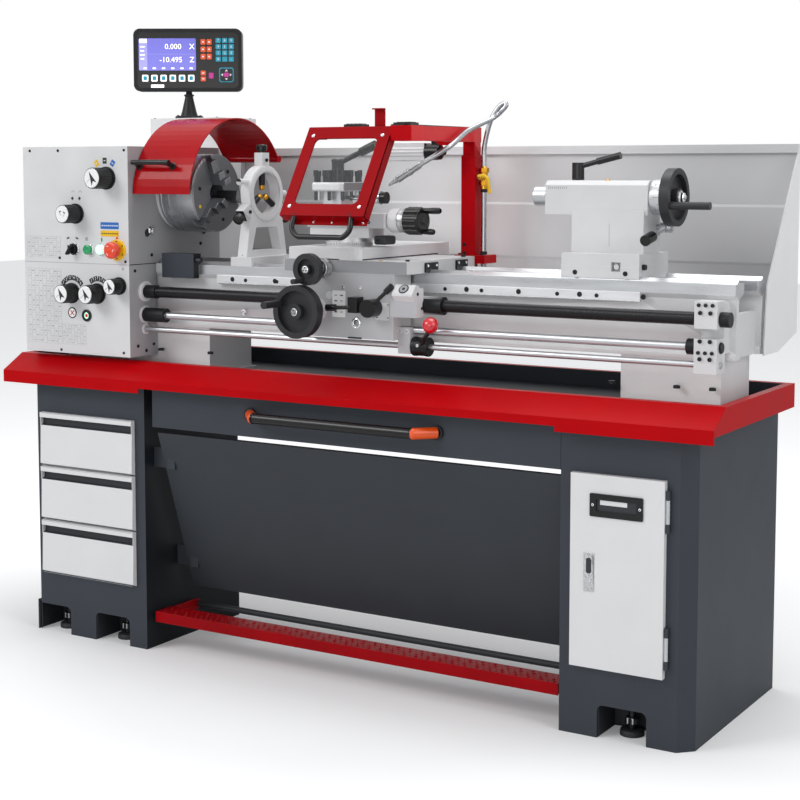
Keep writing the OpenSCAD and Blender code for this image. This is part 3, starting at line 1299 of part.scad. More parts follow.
left_pedestal();
right_pedestal();
chip_tray();
kick_panel();
splash_guard();
bed();
headstock();
gearbox();
end_cover();
electric_box();
motor();
motor_pulley();
rod_bracket();
coolant_tank();
spindle();
chuck();
jaw_1();
jaw_2();
jaw_3();
chuck_guard();
speed_knob();
mode_knob();
feed_knob_a();
feed_knob_b();
feed_knob_c();
selector_switch();
start_button();
emergency_stop();
leadscrew();
feed_rod();
control_rod();
start_lever();
saddle();
apron();
carriage_wheel();
feed_lever();
half_nut_lever();
cross_slide();
cross_wheel();
compound_base();
top_slide();
top_wheel();
tool_post();
clamp_lever();
guard_post();
tool_guard();
coolant_pipe();
tailstock();
quill();
tail_wheel();
quill_lock();
tail_clamp();
steady_rest();
drawer_1();
drawer_2();
drawer_3();
cabinet_door();
chip_drawer();
foot_brake();
position_display();
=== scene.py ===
"""Visual model of the manual lathe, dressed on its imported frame."""
import math
import bpy
from mathutils import Matrix, Vector


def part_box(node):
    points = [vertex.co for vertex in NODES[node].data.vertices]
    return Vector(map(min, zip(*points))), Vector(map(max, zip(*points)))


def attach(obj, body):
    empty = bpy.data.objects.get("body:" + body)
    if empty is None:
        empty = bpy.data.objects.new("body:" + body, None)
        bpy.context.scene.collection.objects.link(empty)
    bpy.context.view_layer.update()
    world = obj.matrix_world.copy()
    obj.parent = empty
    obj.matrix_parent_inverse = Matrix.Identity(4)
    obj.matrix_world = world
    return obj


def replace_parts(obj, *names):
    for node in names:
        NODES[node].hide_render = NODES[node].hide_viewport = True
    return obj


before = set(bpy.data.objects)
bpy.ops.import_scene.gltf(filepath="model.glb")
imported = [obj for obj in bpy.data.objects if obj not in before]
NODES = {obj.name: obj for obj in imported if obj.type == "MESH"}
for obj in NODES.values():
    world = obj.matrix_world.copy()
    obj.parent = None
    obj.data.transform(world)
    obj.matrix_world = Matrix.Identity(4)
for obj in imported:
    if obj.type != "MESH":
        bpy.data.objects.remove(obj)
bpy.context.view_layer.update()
X, Y, Z = Vector((1, 0, 0)), Vector((0, 1, 0)), Vector((0, 0, 1))

# All places below are millimetres in the machine frame: x = 0 in the middle of the tray,
# y = 0 at the pedestal fronts, z = 0 on the floor.
MY = -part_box("left_pedestal")[0].y * 1000


def P(x, y, z):
    return Vector((x, y - MY, z)) / 1000


def lim(node):
    lo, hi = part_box(node)
    return ((lo.x * 1000, hi.x * 1000), (lo.y * 1000 + MY, hi.y * 1000 + MY), (lo.z * 1000, hi.z * 1000))


def turns(n, start=0.0):
    """Angles of n equal steps round a circle, in radians."""
    return [start + 2 * math.pi * i / n for i in range(n)]


def around(a):
    """Unit direction at angle a in the plane across the spindle."""
    return Vector((0, math.cos(a), math.sin(a)))


AY = (lim("chuck")[1][0] + lim("chuck")[1][1]) / 2   # spindle axis
AZ = (lim("chuck")[2][0] + lim("chuck")[2][1]) / 2
BED_TOP = lim("gearbox")[2][1]
HX = lim("gearbox")[0][1]                            # right end of the headstock

# ---------------------------------------------------------------- camera
YAW, PITCH, FOCAL_PX, PICTURE_PX, SENSOR = 0.547, 0.091, 1632, 800, 36
camera = bpy.data.objects.new("camera", bpy.data.cameras.new("camera"))
bpy.context.collection.objects.link(camera)
bpy.context.scene.camera = camera
look = Vector((-math.sin(YAW) * math.cos(PITCH), math.cos(YAW) * math.cos(PITCH), -math.sin(PITCH)))
camera.location = P(2139.8, -3152.1, 1219.8)
camera.rotation_euler = look.to_track_quat("-Z", "Y").to_euler()
camera.data.sensor_width = SENSOR
camera.data.lens = SENSOR * FOCAL_PX / PICTURE_PX
camera.data.shift_y = -0.1
camera.data.clip_end = 100


# ---------------------------------------------------------------- materials
def lin(c):
    c = c.lstrip("#")
    out = []
    for i in (0, 2, 4):
        v = int(c[i:i + 2], 16) / 255
        out.append(v / 12.92 if v <= 0.04045 else ((v + 0.055) / 1.055) ** 2.4)
    return (*out, 1)


def shade(c, k):
    return (min(1, c[0] * k), min(1, c[1] * k), min(1, c[2] * k), 1)


def tree_of(holder):
    holder.use_nodes = True
    holder.node_tree.nodes.clear()
    return holder.node_tree


def node(tree, kind, inputs=None, **settings):
    """Adds a shader node; each input gets a value, or the output socket that feeds it."""
    n = tree.nodes.new("ShaderNode" + kind)
    for key, value in settings.items():
        setattr(n, key, value)
    for key, value in (inputs or {}).items():
        if isinstance(value, bpy.types.NodeSocket):
            tree.links.new(value, n.inputs[key])
        else:
            n.inputs[key].default_value = value
    return n


# Sockets of the Mix node that blend colours: factor, first and second colour, and its colour output.
FACTOR, FIRST, SECOND, MIXED = 0, 6, 7, 2


def shaded(tree, place, colour, bands):
    """Paints light and shade: multiplies a colour by brightness tones given at places along object X."""
    lo, hi = bands[0][0], bands[-1][0]
    along = node(tree, "SeparateXYZ", {0: place}).outputs["X"]
    span = node(tree, "MapRange", {"Value": along, "From Min": lo, "From Max": hi}).outputs["Result"]
    tones = node(tree, "ValToRGB", {0: span})
    ramp = tones.color_ramp
    ramp.interpolation = "EASE"
    for x, _ in bands[1:-1]:
        ramp.elements.new((x - lo) / (hi - lo))
    for e, (_, k) in zip(ramp.elements, bands):
        e.color = (k, k, k, 1)
    mul = node(tree, "Mix", data_type="RGBA", blend_type="MULTIPLY")
    mul.inputs[FACTOR].default_value = 1
    tree.links.new(colour, mul.inputs[FIRST])
    tree.links.new(tones.outputs[0], mul.inputs[SECOND])
    return mul.outputs[MIXED]


def mat(name, color, rough=0.4, metal=0.0, coat=0.0, vary=0.05, rvary=0.06, bump=0.1, grain=900.0,
        stretch=(1, 1, 1), edge=1.0, wear_and_highlight=0.0, wear_and_highlight_color="#f2f2f2", emit=0.0, spec=0.5, thread=0,
        bands=None):
    """Painted, cast, machined or moulded surface: tone, gloss and grain all vary over it; its edges carry
    wear and a painted highlight.
    """
    m = bpy.data.materials.new(name)
    tree = tree_of(m)
    base = lin(color)
    place = node(tree, "TexCoord").outputs["Object"]
    where = node(tree, "Mapping", {"Vector": place, "Scale": stretch}).outputs[0]
    tone = node(tree, "TexNoise", {"Vector": where, "Scale": 9, "Detail": 6}).outputs["Fac"]
    fine = node(tree, "TexNoise", {"Vector": where, "Scale": grain, "Detail": 3}).outputs["Fac"]
    ramp = node(tree, "ValToRGB", {0: tone})
    for e, at, k in zip(ramp.color_ramp.elements, (0.3, 0.7), (1 - vary, 1 + vary)):
        e.position = at
        e.color = shade(base, k)
    colour = ramp.outputs[0]
    # Tones along X paint light and shade onto the colour.
    if bands:
        colour = shaded(tree, place, colour, bands)
    both = node(tree, "Math", {0: tone, 1: fine}, operation="ADD").outputs[0]
    half = node(tree, "Math", {0: both, 1: 0.5}, operation="MULTIPLY").outputs[0]
    gloss = node(tree, "MapRange", {"Value": half, "From Min": 0.3, "From Max": 0.7,
        "To Min": max(0.03, rough - rvary), "To Max": min(1, rough + rvary)})
    height = fine
    if thread:
        wave = node(tree, "TexWave", {"Vector": place, "Scale": thread, "Distortion": 0}, wave_type="BANDS",
            bands_direction="X")
        height = node(tree, "Math", {0: fine, 1: wave.outputs["Fac"]}, operation="ADD").outputs[0]
    relief = {"Height": height, "Strength": bump, "Distance": 0.0006}
    if edge:
        bevel = node(tree, "Bevel", {"Radius": 0.001 * edge}, samples=4).outputs[0]
        relief["Normal"] = bevel
    # Edges shift towards a lighter colour: partly paint wear, partly a painted highlight where light catches
    # the edge.
    if wear_and_highlight and edge:
        normal = node(tree, "NewGeometry").outputs["Normal"]
        bend = node(tree, "VectorMath", {0: bevel, 1: normal}, operation="DOT_PRODUCT").outputs["Value"]
        edge_wear_and_highlight = node(tree, "MapRange", {"Value": bend, "From Min": 0.98, "From Max": 0.86, "To Max": wear_and_highlight})
        colour = node(tree, "Mix", {FACTOR: edge_wear_and_highlight.outputs["Result"], FIRST: colour, SECOND: lin(wear_and_highlight_color)},
            data_type="RGBA").outputs[MIXED]
    bsdf = node(tree, "BsdfPrincipled", {"Base Color": colour, "Metallic": metal,
        "Roughness": gloss.outputs["Result"], "Coat Weight": coat, "Coat Roughness": 0.08,
        "Specular IOR Level": spec, "Normal": node(tree, "Bump", relief).outputs[0]})
    if emit:
        tree.links.new(colour, bsdf.inputs["Emission Color"])
        bsdf.inputs["Emission Strength"].default_value = emit
    node(tree, "OutputMaterial", {0: bsdf.outputs[0]})
    m.diffuse_color = base
    return m


def glass(name):
    m = bpy.data.materials.new(name)
    tree = tree_of(m)
    place = node(tree, "TexCoord").outputs["Object"]
    cloud = node(tree, "TexNoise", {"Vector": place, "Scale": 30}).outputs["Fac"]
    gloss = node(tree, "MapRange", {"Value": cloud, "To Min": 0.04, "To Max": 0.1}).outputs["Result"]
    bsdf = node(tree, "BsdfPrincipled", {"Base Color": lin("#f2f6f6"), "Alpha": 0.03,
        "Specular IOR Level": 0.2, "Roughness": gloss})
    node(tree, "OutputMaterial", {0: bsdf.outputs[0]})
    m.diffuse_color = (0.9, 0.95, 0.95, 0.2)
    return m


# What families of surfaces share; the table's rows add to it or change it.
GRAPHITE = dict(rough=0.5, bump=0.12, grain=1400, wear_and_highlight=0.2)
RED = dict(rough=0.3, bump=0.06, grain=1300, wear_and_highlight=0.15, wear_and_highlight_color="#d84048", spec=0.1)
CAST = dict(rough=0.42, rvary=0.08, bump=0.28, grain=420, wear_and_highlight=0.4, wear_and_highlight_color="#ffffff")
SHEET = dict(rough=0.42, vary=0.02, bump=0.06, grain=1200, wear_and_highlight=0.2)
STEEL = dict(vary=0.05, rvary=0.08, bump=0.05, grain=120, stretch=(1, 9, 9), edge=0.8, wear_and_highlight=0.5)
TURNED = dict(metal=1.0, grain=50, stretch=(26, 1, 1), edge=1.2, wear_and_highlight=0.6)
PLASTIC = dict(rough=0.26, bump=0.03, wear_and_highlight=0.3, coat=0.4)
PRINT = dict(rough=0.5, bump=0.03, edge=0)
SCREEN = dict(rough=0.16, bump=0.01, coat=0.5, edge=0)

MATERIALS = {
    "graphite": ("graphite_powder_coat", "#393e45", dict(GRAPHITE, wear_and_highlight=0.18, wear_and_highlight_color="#9aa0a8",
        spec=0.25)),
    # Near-black paint for a few dark parts and joints, and painted shade in holes, recesses, slots and
    # pockets.
    "graphite_dark_and_shade": ("graphite_dark_and_painted_shade", "#23262b", dict(rough=0.6, bump=0.15, grain=1200)),
    "red": ("red_powder_coat", "#b80008", dict(RED, rough=0.38, bump=0.08, wear_and_highlight=0.12, spec=0.08)),
    "red_gloss": ("red_gloss_enamel", "#a4000a", dict(RED, rough=0.24, vary=0.04, bump=0.03, grain=700,
        wear_and_highlight_color="#e05058", coat=0.12, spec=0.12)),
    "red_tread": ("red_tread_plate", "#99000a", dict(RED, rough=0.42, vary=0.12, rvary=0.12, bump=0.2,
        grain=700, wear_and_highlight=0.25, wear_and_highlight_color="#e88080")),
    "light": ("light_sheet_paint", "#d3d4d6", dict(SHEET, rough=0.4, vary=0.03, wear_and_highlight=0.3)),
    "cast": ("light_casting_paint", "#d9d9da", dict(CAST, vary=0.04)),
    "pale": ("pale_powder_coat", "#e2e2e3", dict(SHEET, bump=0.1, grain=1300, wear_and_highlight=0.3,
        wear_and_highlight_color="#ffffff")),
    "steel": ("turned_steel", "#c4c6c9", dict(TURNED, rough=0.26, vary=0.1, rvary=0.1, bump=0.12, grain=60,
        stretch=(22, 1, 1), edge=0.6, wear_and_highlight=0.5, wear_and_highlight_color="#ffffff")),
    "ground": ("ground_steel", "#c2c4c7", dict(STEEL, rough=0.32, metal=0.85)),
    "jaw": ("hardened_jaw_steel", "#77797d", dict(rough=0.34, metal=0.95, vary=0.15, rvary=0.12, bump=0.15,
        grain=300, wear_and_highlight=0.7, wear_and_highlight_color="#e8e8ea")),
    "chrome": ("chrome", "#e6e7e9", dict(rough=0.1, metal=1.0, vary=0.03, rvary=0.04, bump=0.02, grain=200,
        edge=0.6)),
    "screw": ("black_oxide_steel", "#2c2d30", dict(rough=0.34, metal=0.8, vary=0.15, rvary=0.1, grain=500,
        edge=0.3)),
    "black": ("black_gloss_plastic", "#141415", dict(rough=0.27, vary=0.1, rvary=0.08, bump=0.05, wear_and_highlight=0.25,
        wear_and_highlight_color="#5a5a5e", coat=0.1, spec=0.3)),
    "black_satin": ("black_satin_metal", "#18191b", dict(metal=0.05, spec=0.25, vary=0.12, rvary=0.1,
        bump=0.12, grain=700, wear_and_highlight=0.35, wear_and_highlight_color="#77797c")),
    "screwed": ("black_thread", "#1b1b1d", dict(rough=0.3, metal=0.6, vary=0.1, bump=0.5, grain=300,
        thread=78, edge=0.4)),
    "orange": ("orange_plastic", "#f0560f", dict(rough=0.32, bump=0.06, wear_and_highlight=0.2, wear_and_highlight_color="#ffb080",
        coat=0.2)),
    "estop": ("emergency_red_plastic", "#e8401c", dict(PLASTIC, vary=0.04, wear_and_highlight_color="#ff9a80")),
    "yellow": ("yellow_plastic", "#f0c010", dict(rough=0.34, bump=0.05)),
    "green": ("green_plastic", "#129a5c", dict(PLASTIC, vary=0.06, bump=0.05, wear_and_highlight_color="#7fe0b0")),
    "lamp": ("lit_lamp", "#c8fbe0", dict(rough=0.3, vary=0.06, bump=0.03, emit=0.7)),
    "brass": ("brass", "#c9932a", dict(rough=0.24, metal=1.0, vary=0.12, rvary=0.1, grain=400, wear_and_highlight=0.5,
        wear_and_highlight_color="#ffe0a0")),
    "ball": ("red_ball_plastic", "#d41422", dict(rough=0.16, vary=0.03, bump=0.02, coat=0.7)),
    "white": ("white_print", "#f4f4f4", dict(vary=0.02, bump=0.04)),
    "ink": ("grey_print", "#a9abae", dict(PRINT, vary=0.06)),
    "blackink": ("black_print", "#1c1c1e", dict(PRINT, rough=0.45)),
    "blue": ("blue_print", "#1f66b8", dict(PRINT, rough=0.4, vary=0.04)),
    "screen": ("display_screen", "#6a68cc", dict(SCREEN, emit=0.35)),
    "screen_side": ("display_screen_side", "#9a98dc", dict(SCREEN, vary=0.04, emit=0.3)),
    "digits": ("display_digits", "#ffffff", dict(rough=0.3, vary=0.02, bump=0.01, emit=0.8, edge=0)),
    "cyan": ("cyan_key", "#1fa0bc", dict(bump=0.05)),
    "magenta": ("magenta_key", "#c83a98", dict(bump=0.05)),
    "rubber": ("rubber_foot", "#26272a", dict(rough=0.62, vary=0.12, bump=0.3, grain=500)),
    "tank": ("zinc_tank", "#9aa3ab", dict(rough=0.36, metal=0.6, vary=0.16, rvary=0.12, bump=0.15,
        grain=200)),
    "dial": ("satin_dial", "#c6c8ca", dict(rough=0.34, metal=0.7, vary=0.04, bump=0.05, grain=300, edge=0.6,
        wear_and_highlight=0.4)),
    "white_steel": ("bright_plate", "#e4e6e8", dict(rough=0.3, metal=0.35, vary=0.04, bump=0.05, grain=200,
        stretch=(8, 1, 1), wear_and_highlight=0.5)),
    # Darker casting paint for the right faces of the headstock and gearbox: painted shade.
    "cast_painted_shade": ("side_casting_painted_shade", "#a4a5a8", dict(CAST, rough=0.44, wear_and_highlight=0.5, wear_and_highlight_color="#f4f4f4")),
    # Darker graphite for the kick panel: painted shade.
    "graphite_painted_shade": ("graphite_kick_painted_shade", "#33373c", dict(GRAPHITE, wear_and_highlight_color="#7d838a", spec=0.3)),
    # Near-black graphite for the left pedestal's right side: painted shade.
    "graphite_deep_shade": ("graphite_side_painted_shade", "#1a1e22", dict(GRAPHITE, rough=0.55, wear_and_highlight_color="#6c7278",
        spec=0.15)),
    "hose_chrome": ("hose_chrome", "#a4a6a9", dict(rough=0.28, metal=1.0, vary=0.06, rvary=0.08, bump=0.05,
        grain=200, edge=0.6)),
    # The splash guard is darker behind the chuck and brighter in the middle: painted light and shade along X.
    "splash": ("splash_sheet_painted_light_and_shade", "#f2f2f3", dict(SHEET, bands=(
        (-0.7, 0.5), (-0.35, 0.53), (0.0, 0.92), (0.25, 1.0), (0.45, 0.84), (0.85, 0.62)))),
    "splash_end": ("splash_end_paint", "#f0f0f1", SHEET),
    # Darker casting paint for the fronts of the apron and top slide: painted shade.
    "cast_front_shade": ("apron_front_painted_shade", "#b4b4b7", dict(CAST, wear_and_highlight=0.45, wear_and_highlight_color="#fafafa")),
    # Dark casting paint for the saddle front: painted shade.
    "cast_saddle_shade": ("saddle_front_painted_shade", "#98999c", dict(CAST, wear_and_highlight=0.5, wear_and_highlight_color="#f4f4f4")),
    # Brighter casting paint for the lower front of the bed: painted light.
    "cast_painted_light": ("bed_front_painted_light", "#f2f2f2", dict(CAST, vary=0.03)),
    "rack": ("rack_steel", "#e8e9eb", dict(STEEL, rough=0.34, metal=0.6, wear_and_highlight=0.4)),
    "faint": ("faint_print", "#c2c3c6", dict(PRINT, vary=0.04)),
    "red_guard": ("red_guard_paint", "#960008", dict(RED, rough=0.34, bump=0.08)),
    # Brighter, glossier red for the arm's faces towards +X: painted light.
    "red_arm_lit": ("red_arm_lit_paint", "#dc0a16", dict(RED, wear_and_highlight_color="#e86068", spec=0.3)),
    "red_post": ("red_post_paint", "#b8000c", RED),
    "chuck_side": ("chuck_side_steel", "#b4b6b9", dict(TURNED, rough=0.3, metal=0.9, vary=0.06, rvary=0.08,
        bump=0.08)),
    "chuck_face": ("chuck_face_steel", "#76777a", dict(rough=0.36, metal=0.5, rvary=0.08, bump=0.06,
        grain=300, edge=1.4, wear_and_highlight=0.9, wear_and_highlight_color="#f4f4f6")),
    "wheel": ("wheel_black", "#29292b", dict(rough=0.42, vary=0.08, rvary=0.08, bump=0.08, wear_and_highlight=0.3,
        wear_and_highlight_color="#77787b", spec=0.35)),
    "belt": ("belt_rubber", "#1a1a1b", dict(rough=0.7, vary=0.1, bump=0.3, grain=400)),
}
M = {key: mat(name, color, **look) for key, (name, color, look) in MATERIALS.items()}
M["glass"] = glass("clear_polycarbonate")


# ---------------------------------------------------------------- CAD nodes
def dress(name, base, *zones):
    """Gives a CAD node its material; zones are (material, test(x, y, z, normal)) over its faces."""
    me = NODES[name].data
    me.materials.clear()
    for key in [base] + [zone[0] for zone in zones]:
        me.materials.append(M[key])
    for p in me.polygons:
        x, y, z = p.center.x * 1000, p.center.y * 1000 + MY, p.center.z * 1000
        p.material_index = 0
        p.use_smooth = True
        for i, (_, test) in enumerate(zones):
            if test(x, y, z, p.normal):
                p.material_index = i + 1
    me.set_sharp_from_angle(angle=math.radians(32))


PLAIN = {
    "graphite": ("motor",),
    # the kick panel is painted darker as shade
    "graphite_painted_shade": ("kick_panel",),
    "steel": ("motor_pulley", "spindle"),
    "ground": ("control_rod", "quill"),
    "tank": ("coolant_tank",),
    "jaw": ("jaw_1", "jaw_2", "jaw_3"),
    "cast": ("cross_slide",),
    "wheel": ("carriage_wheel",),
    "green": ("start_button",),
    "black": ("speed_knob", "mode_knob", "feed_knob_a", "feed_knob_b", "feed_knob_c", "selector_switch",
        "feed_lever", "clamp_lever", "quill_lock"),
    "black_satin": ("position_display",),
}
for key, names in PLAIN.items():
    for name in names:
        dress(name, key)

GUARD_Y, GUARD_Z = 216, 1152         # middle of the chuck guard's hood
LAMP_Y, LAMP_Z = 300, 1266           # axis of the machine lamp
BALL = Vector((291.4, 15, 873))      # red ball of the start lever
STOP_X0, STOP_X1 = -545, -421        # carriage stop on the bed
FOOT_Y0, FOOT_Y1, FOOT_Z1 = 34, 86, 76
ROD_Y, SCREW_Z, FEED_Z, CONTROL_Z = 60, 914, 855, 818      # leadscrew, feed rod and control rod
SADDLE_Z, APRON_Y = 1013, 20         # top of the saddle, front of the apron


def from_axis(y, z):
    return math.hypot(y - AY, z - AZ)


def on_stop(x, y, z):
    return STOP_X0 < x < STOP_X1 and y < 116 and z > 949


for name in ("left_pedestal", "right_pedestal"):
    dress(name, "graphite",
        # right side of the left pedestal: painted shade
        ("graphite_deep_shade", lambda x, y, z, v: v.x > 0.9 and -546 < x < -500),
        ("rubber", lambda x, y, z, v: z < 13),
        ("steel", lambda x, y, z, v: (14 < z < FOOT_Z1 and FOOT_Y0 < y < FOOT_Y1 and abs(v.z) < 0.9
            and abs(x) > 540)))
dress("chip_tray", "red",
    ("graphite", lambda x, y, z, v: (60 < y < 545 and abs(x) < 930
        and (v.y < -0.8 and y > 300 or v.z > 0.9 and z < 704))))
# The splash guard carries painted light and shade along X; its right end wing keeps the plain paint.
dress("splash_guard", "splash", ("splash_end", lambda x, y, z, v: abs(v.x) > 0.9 and x > 900))
dress("bed", "cast",
    # lower front faces of the bed: painted light
    ("cast_painted_light", lambda x, y, z, v: y < 200 and v.y < -0.5 and z < 900),
    ("ground", lambda x, y, z, v: z > BED_TOP - 25 and x > HX),
    ("rack", lambda x, y, z, v: y < 103 and 935 < z < 962),
    ("black_satin", lambda x, y, z, v: on_stop(x, y, z)),
    ("graphite", lambda x, y, z, v: on_stop(x, y, z) and v.y < -0.8),
    ("screw", lambda x, y, z, v: y < 99.9 and 940 < z < 960))
dress("headstock", "cast",
    # right faces of the headstock: painted shade
    ("cast_painted_shade", lambda x, y, z, v: v.x > 0.9 and x > HX - 1),
    ("yellow", lambda x, y, z, v: y < -0.5),
    # seam at the headstock's right end, painted dark
    ("graphite_dark_and_shade", lambda x, y, z, v: x > HX - 3.9 and (x < HX - 0.2 or x > HX + 1) and z < 1080))
# right face of the gearbox: painted shade
dress("gearbox", "cast", ("cast_painted_shade", lambda x, y, z, v: v.x > 0.9 and x > HX - 1))
dress("end_cover", "cast", ("black", lambda x, y, z, v: x < HX - 393.5))
dress("electric_box", "pale", ("black_satin", lambda x, y, z, v: z > 1364.2))
dress("rod_bracket", "cast", ("screw", lambda x, y, z, v: y < 37.9))
dress("chuck", "chuck_side", ("chuck_face", lambda x, y, z, v: abs(v.x) > 0.9))
dress("chuck_guard", "red_gloss",
    ("black", lambda x, y, z, v: math.hypot(y - GUARD_Y, z - GUARD_Z) > 203.6 and y < 150),
    ("steel", lambda x, y, z, v: y > 385 and x < -576))
dress("emergency_stop", "estop", ("black", lambda x, y, z, v: y > -15))
dress("leadscrew", "screwed", ("black_satin", lambda x, y, z, v: x < -530 or x > 903))
dress("feed_rod", "ground", ("black_satin", lambda x, y, z, v: x < -508 or 885 < x < 910))
dress("start_lever", "black_satin", ("ball", lambda x, y, z, v: (Vector((x, y, z)) - BALL).length < 18.8))
dress("saddle", "cast",
    # front faces of the saddle: painted shade
    ("cast_saddle_shade", lambda x, y, z, v: v.y < -0.8 and y < 60),
    ("screw", lambda x, y, z, v: z > SADDLE_Z + 0.5 and y < 80 and abs(x - 2) >= 50))
dress("apron", "cast",
    # front faces of the apron: painted shade
    ("cast_front_shade", lambda x, y, z, v: v.y < -0.5),
    ("black_satin", lambda x, y, z, v: x > 257 and z > 880))
dress("half_nut_lever", "black", ("chrome", lambda x, y, z, v: x > 110 and y > 19))
dress("cross_wheel", "wheel", ("steel", lambda x, y, z, v: y > -38))
dress("compound_base", "cast", ("dial", lambda x, y, z, v: z < 1061.9))
# front faces of the top slide: painted shade
dress("top_slide", "cast", ("cast_front_shade", lambda x, y, z, v: v.y < -0.5))
dress("top_wheel", "black", ("dial", lambda x, y, z, v: x < 167))
dress("tool_post", "ground",
    ("screw", lambda x, y, z, v: z > 1193.5 or 1137.5 < z < 1171.5 and x > 12),
    ("chrome", lambda x, y, z, v: 24 < x < 93),
    ("black", lambda x, y, z, v: x >= 93))
dress("guard_post", "red_post",
    # arm faces towards +X: painted light
    ("red_arm_lit", lambda x, y, z, v: z > 1276 and v.x > 0.5),
    ("pale", lambda x, y, z, v: x < 117.5 and y > 270),
    ("black", lambda x, y, z, v: 115 < x < 153 and y > 278 and abs(y - LAMP_Y) > 6),
    ("black", lambda x, y, z, v: z > 1323),
    ("steel", lambda x, y, z, v: x < 181 and y < 60))
dress("tailstock", "cast",
    ("screw", lambda x, y, z, v: x > 752.5),
    ("ground", lambda x, y, z, v: z < 984.5))
dress("tail_wheel", "wheel", ("dial", lambda x, y, z, v: x < 786.5))
dress("tail_clamp", "steel", ("black", lambda x, y, z, v: y < 146))
dress("steady_rest", "cast",
    ("brass", lambda x, y, z, v: z > 1080 and from_axis(y, z) < 52.5),
    ("black", lambda x, y, z, v: z > 1080 and from_axis(y, z) > 101.9),
    ("steel", lambda x, y, z, v: z > 1080 and 96 < from_axis(y, z) < 101.9))
# Each drawer's grip recess is painted dark: painted shade.
for i in (1, 2, 3):
    z0 = lim(f"drawer_{i}")[2][0]
    dress(f"drawer_{i}", "pale",
        ("graphite_dark_and_shade", lambda x, y, z, v: (-11.2 < y < -1 and z0 + 108 < z < z0 + 127.4
            and abs(v.x) < 0.9)))
dress("cabinet_door", "pale",
    ("black", lambda x, y, z, v: 705 < x < 824 and 489 < z < 537 and y < -8.9),
    ("steel", lambda x, y, z, v: 689 < x < 715 and 323 < z < 409 and y < -14.05),
    ("steel", lambda x, y, z, v: x > 872.5))
dress("chip_drawer", "graphite",
    ("black", lambda x, y, z, v: y < -6.05 and abs(x - 58) < 223),
    ("orange", lambda x, y, z, v: y < -6.05 and abs(x - 58) >= 223),
    ("black", lambda x, y, z, v: -6.05 <= y < -0.5))
# a strip at the back of the brake is painted dark: painted shade
dress("foot_brake", "red_tread",
    ("graphite_dark_and_shade", lambda x, y, z, v: y > 181 and 71 < z < 89 and abs(v.x) < 0.5))


# ---------------------------------------------------------------- mesh builder
def frame_of(axis):
    axis = Vector(axis).normalized()
    u = axis.cross(Z if abs(axis.z) < 0.9 else X).normalized()
    return u, axis.cross(u).normalized(), axis


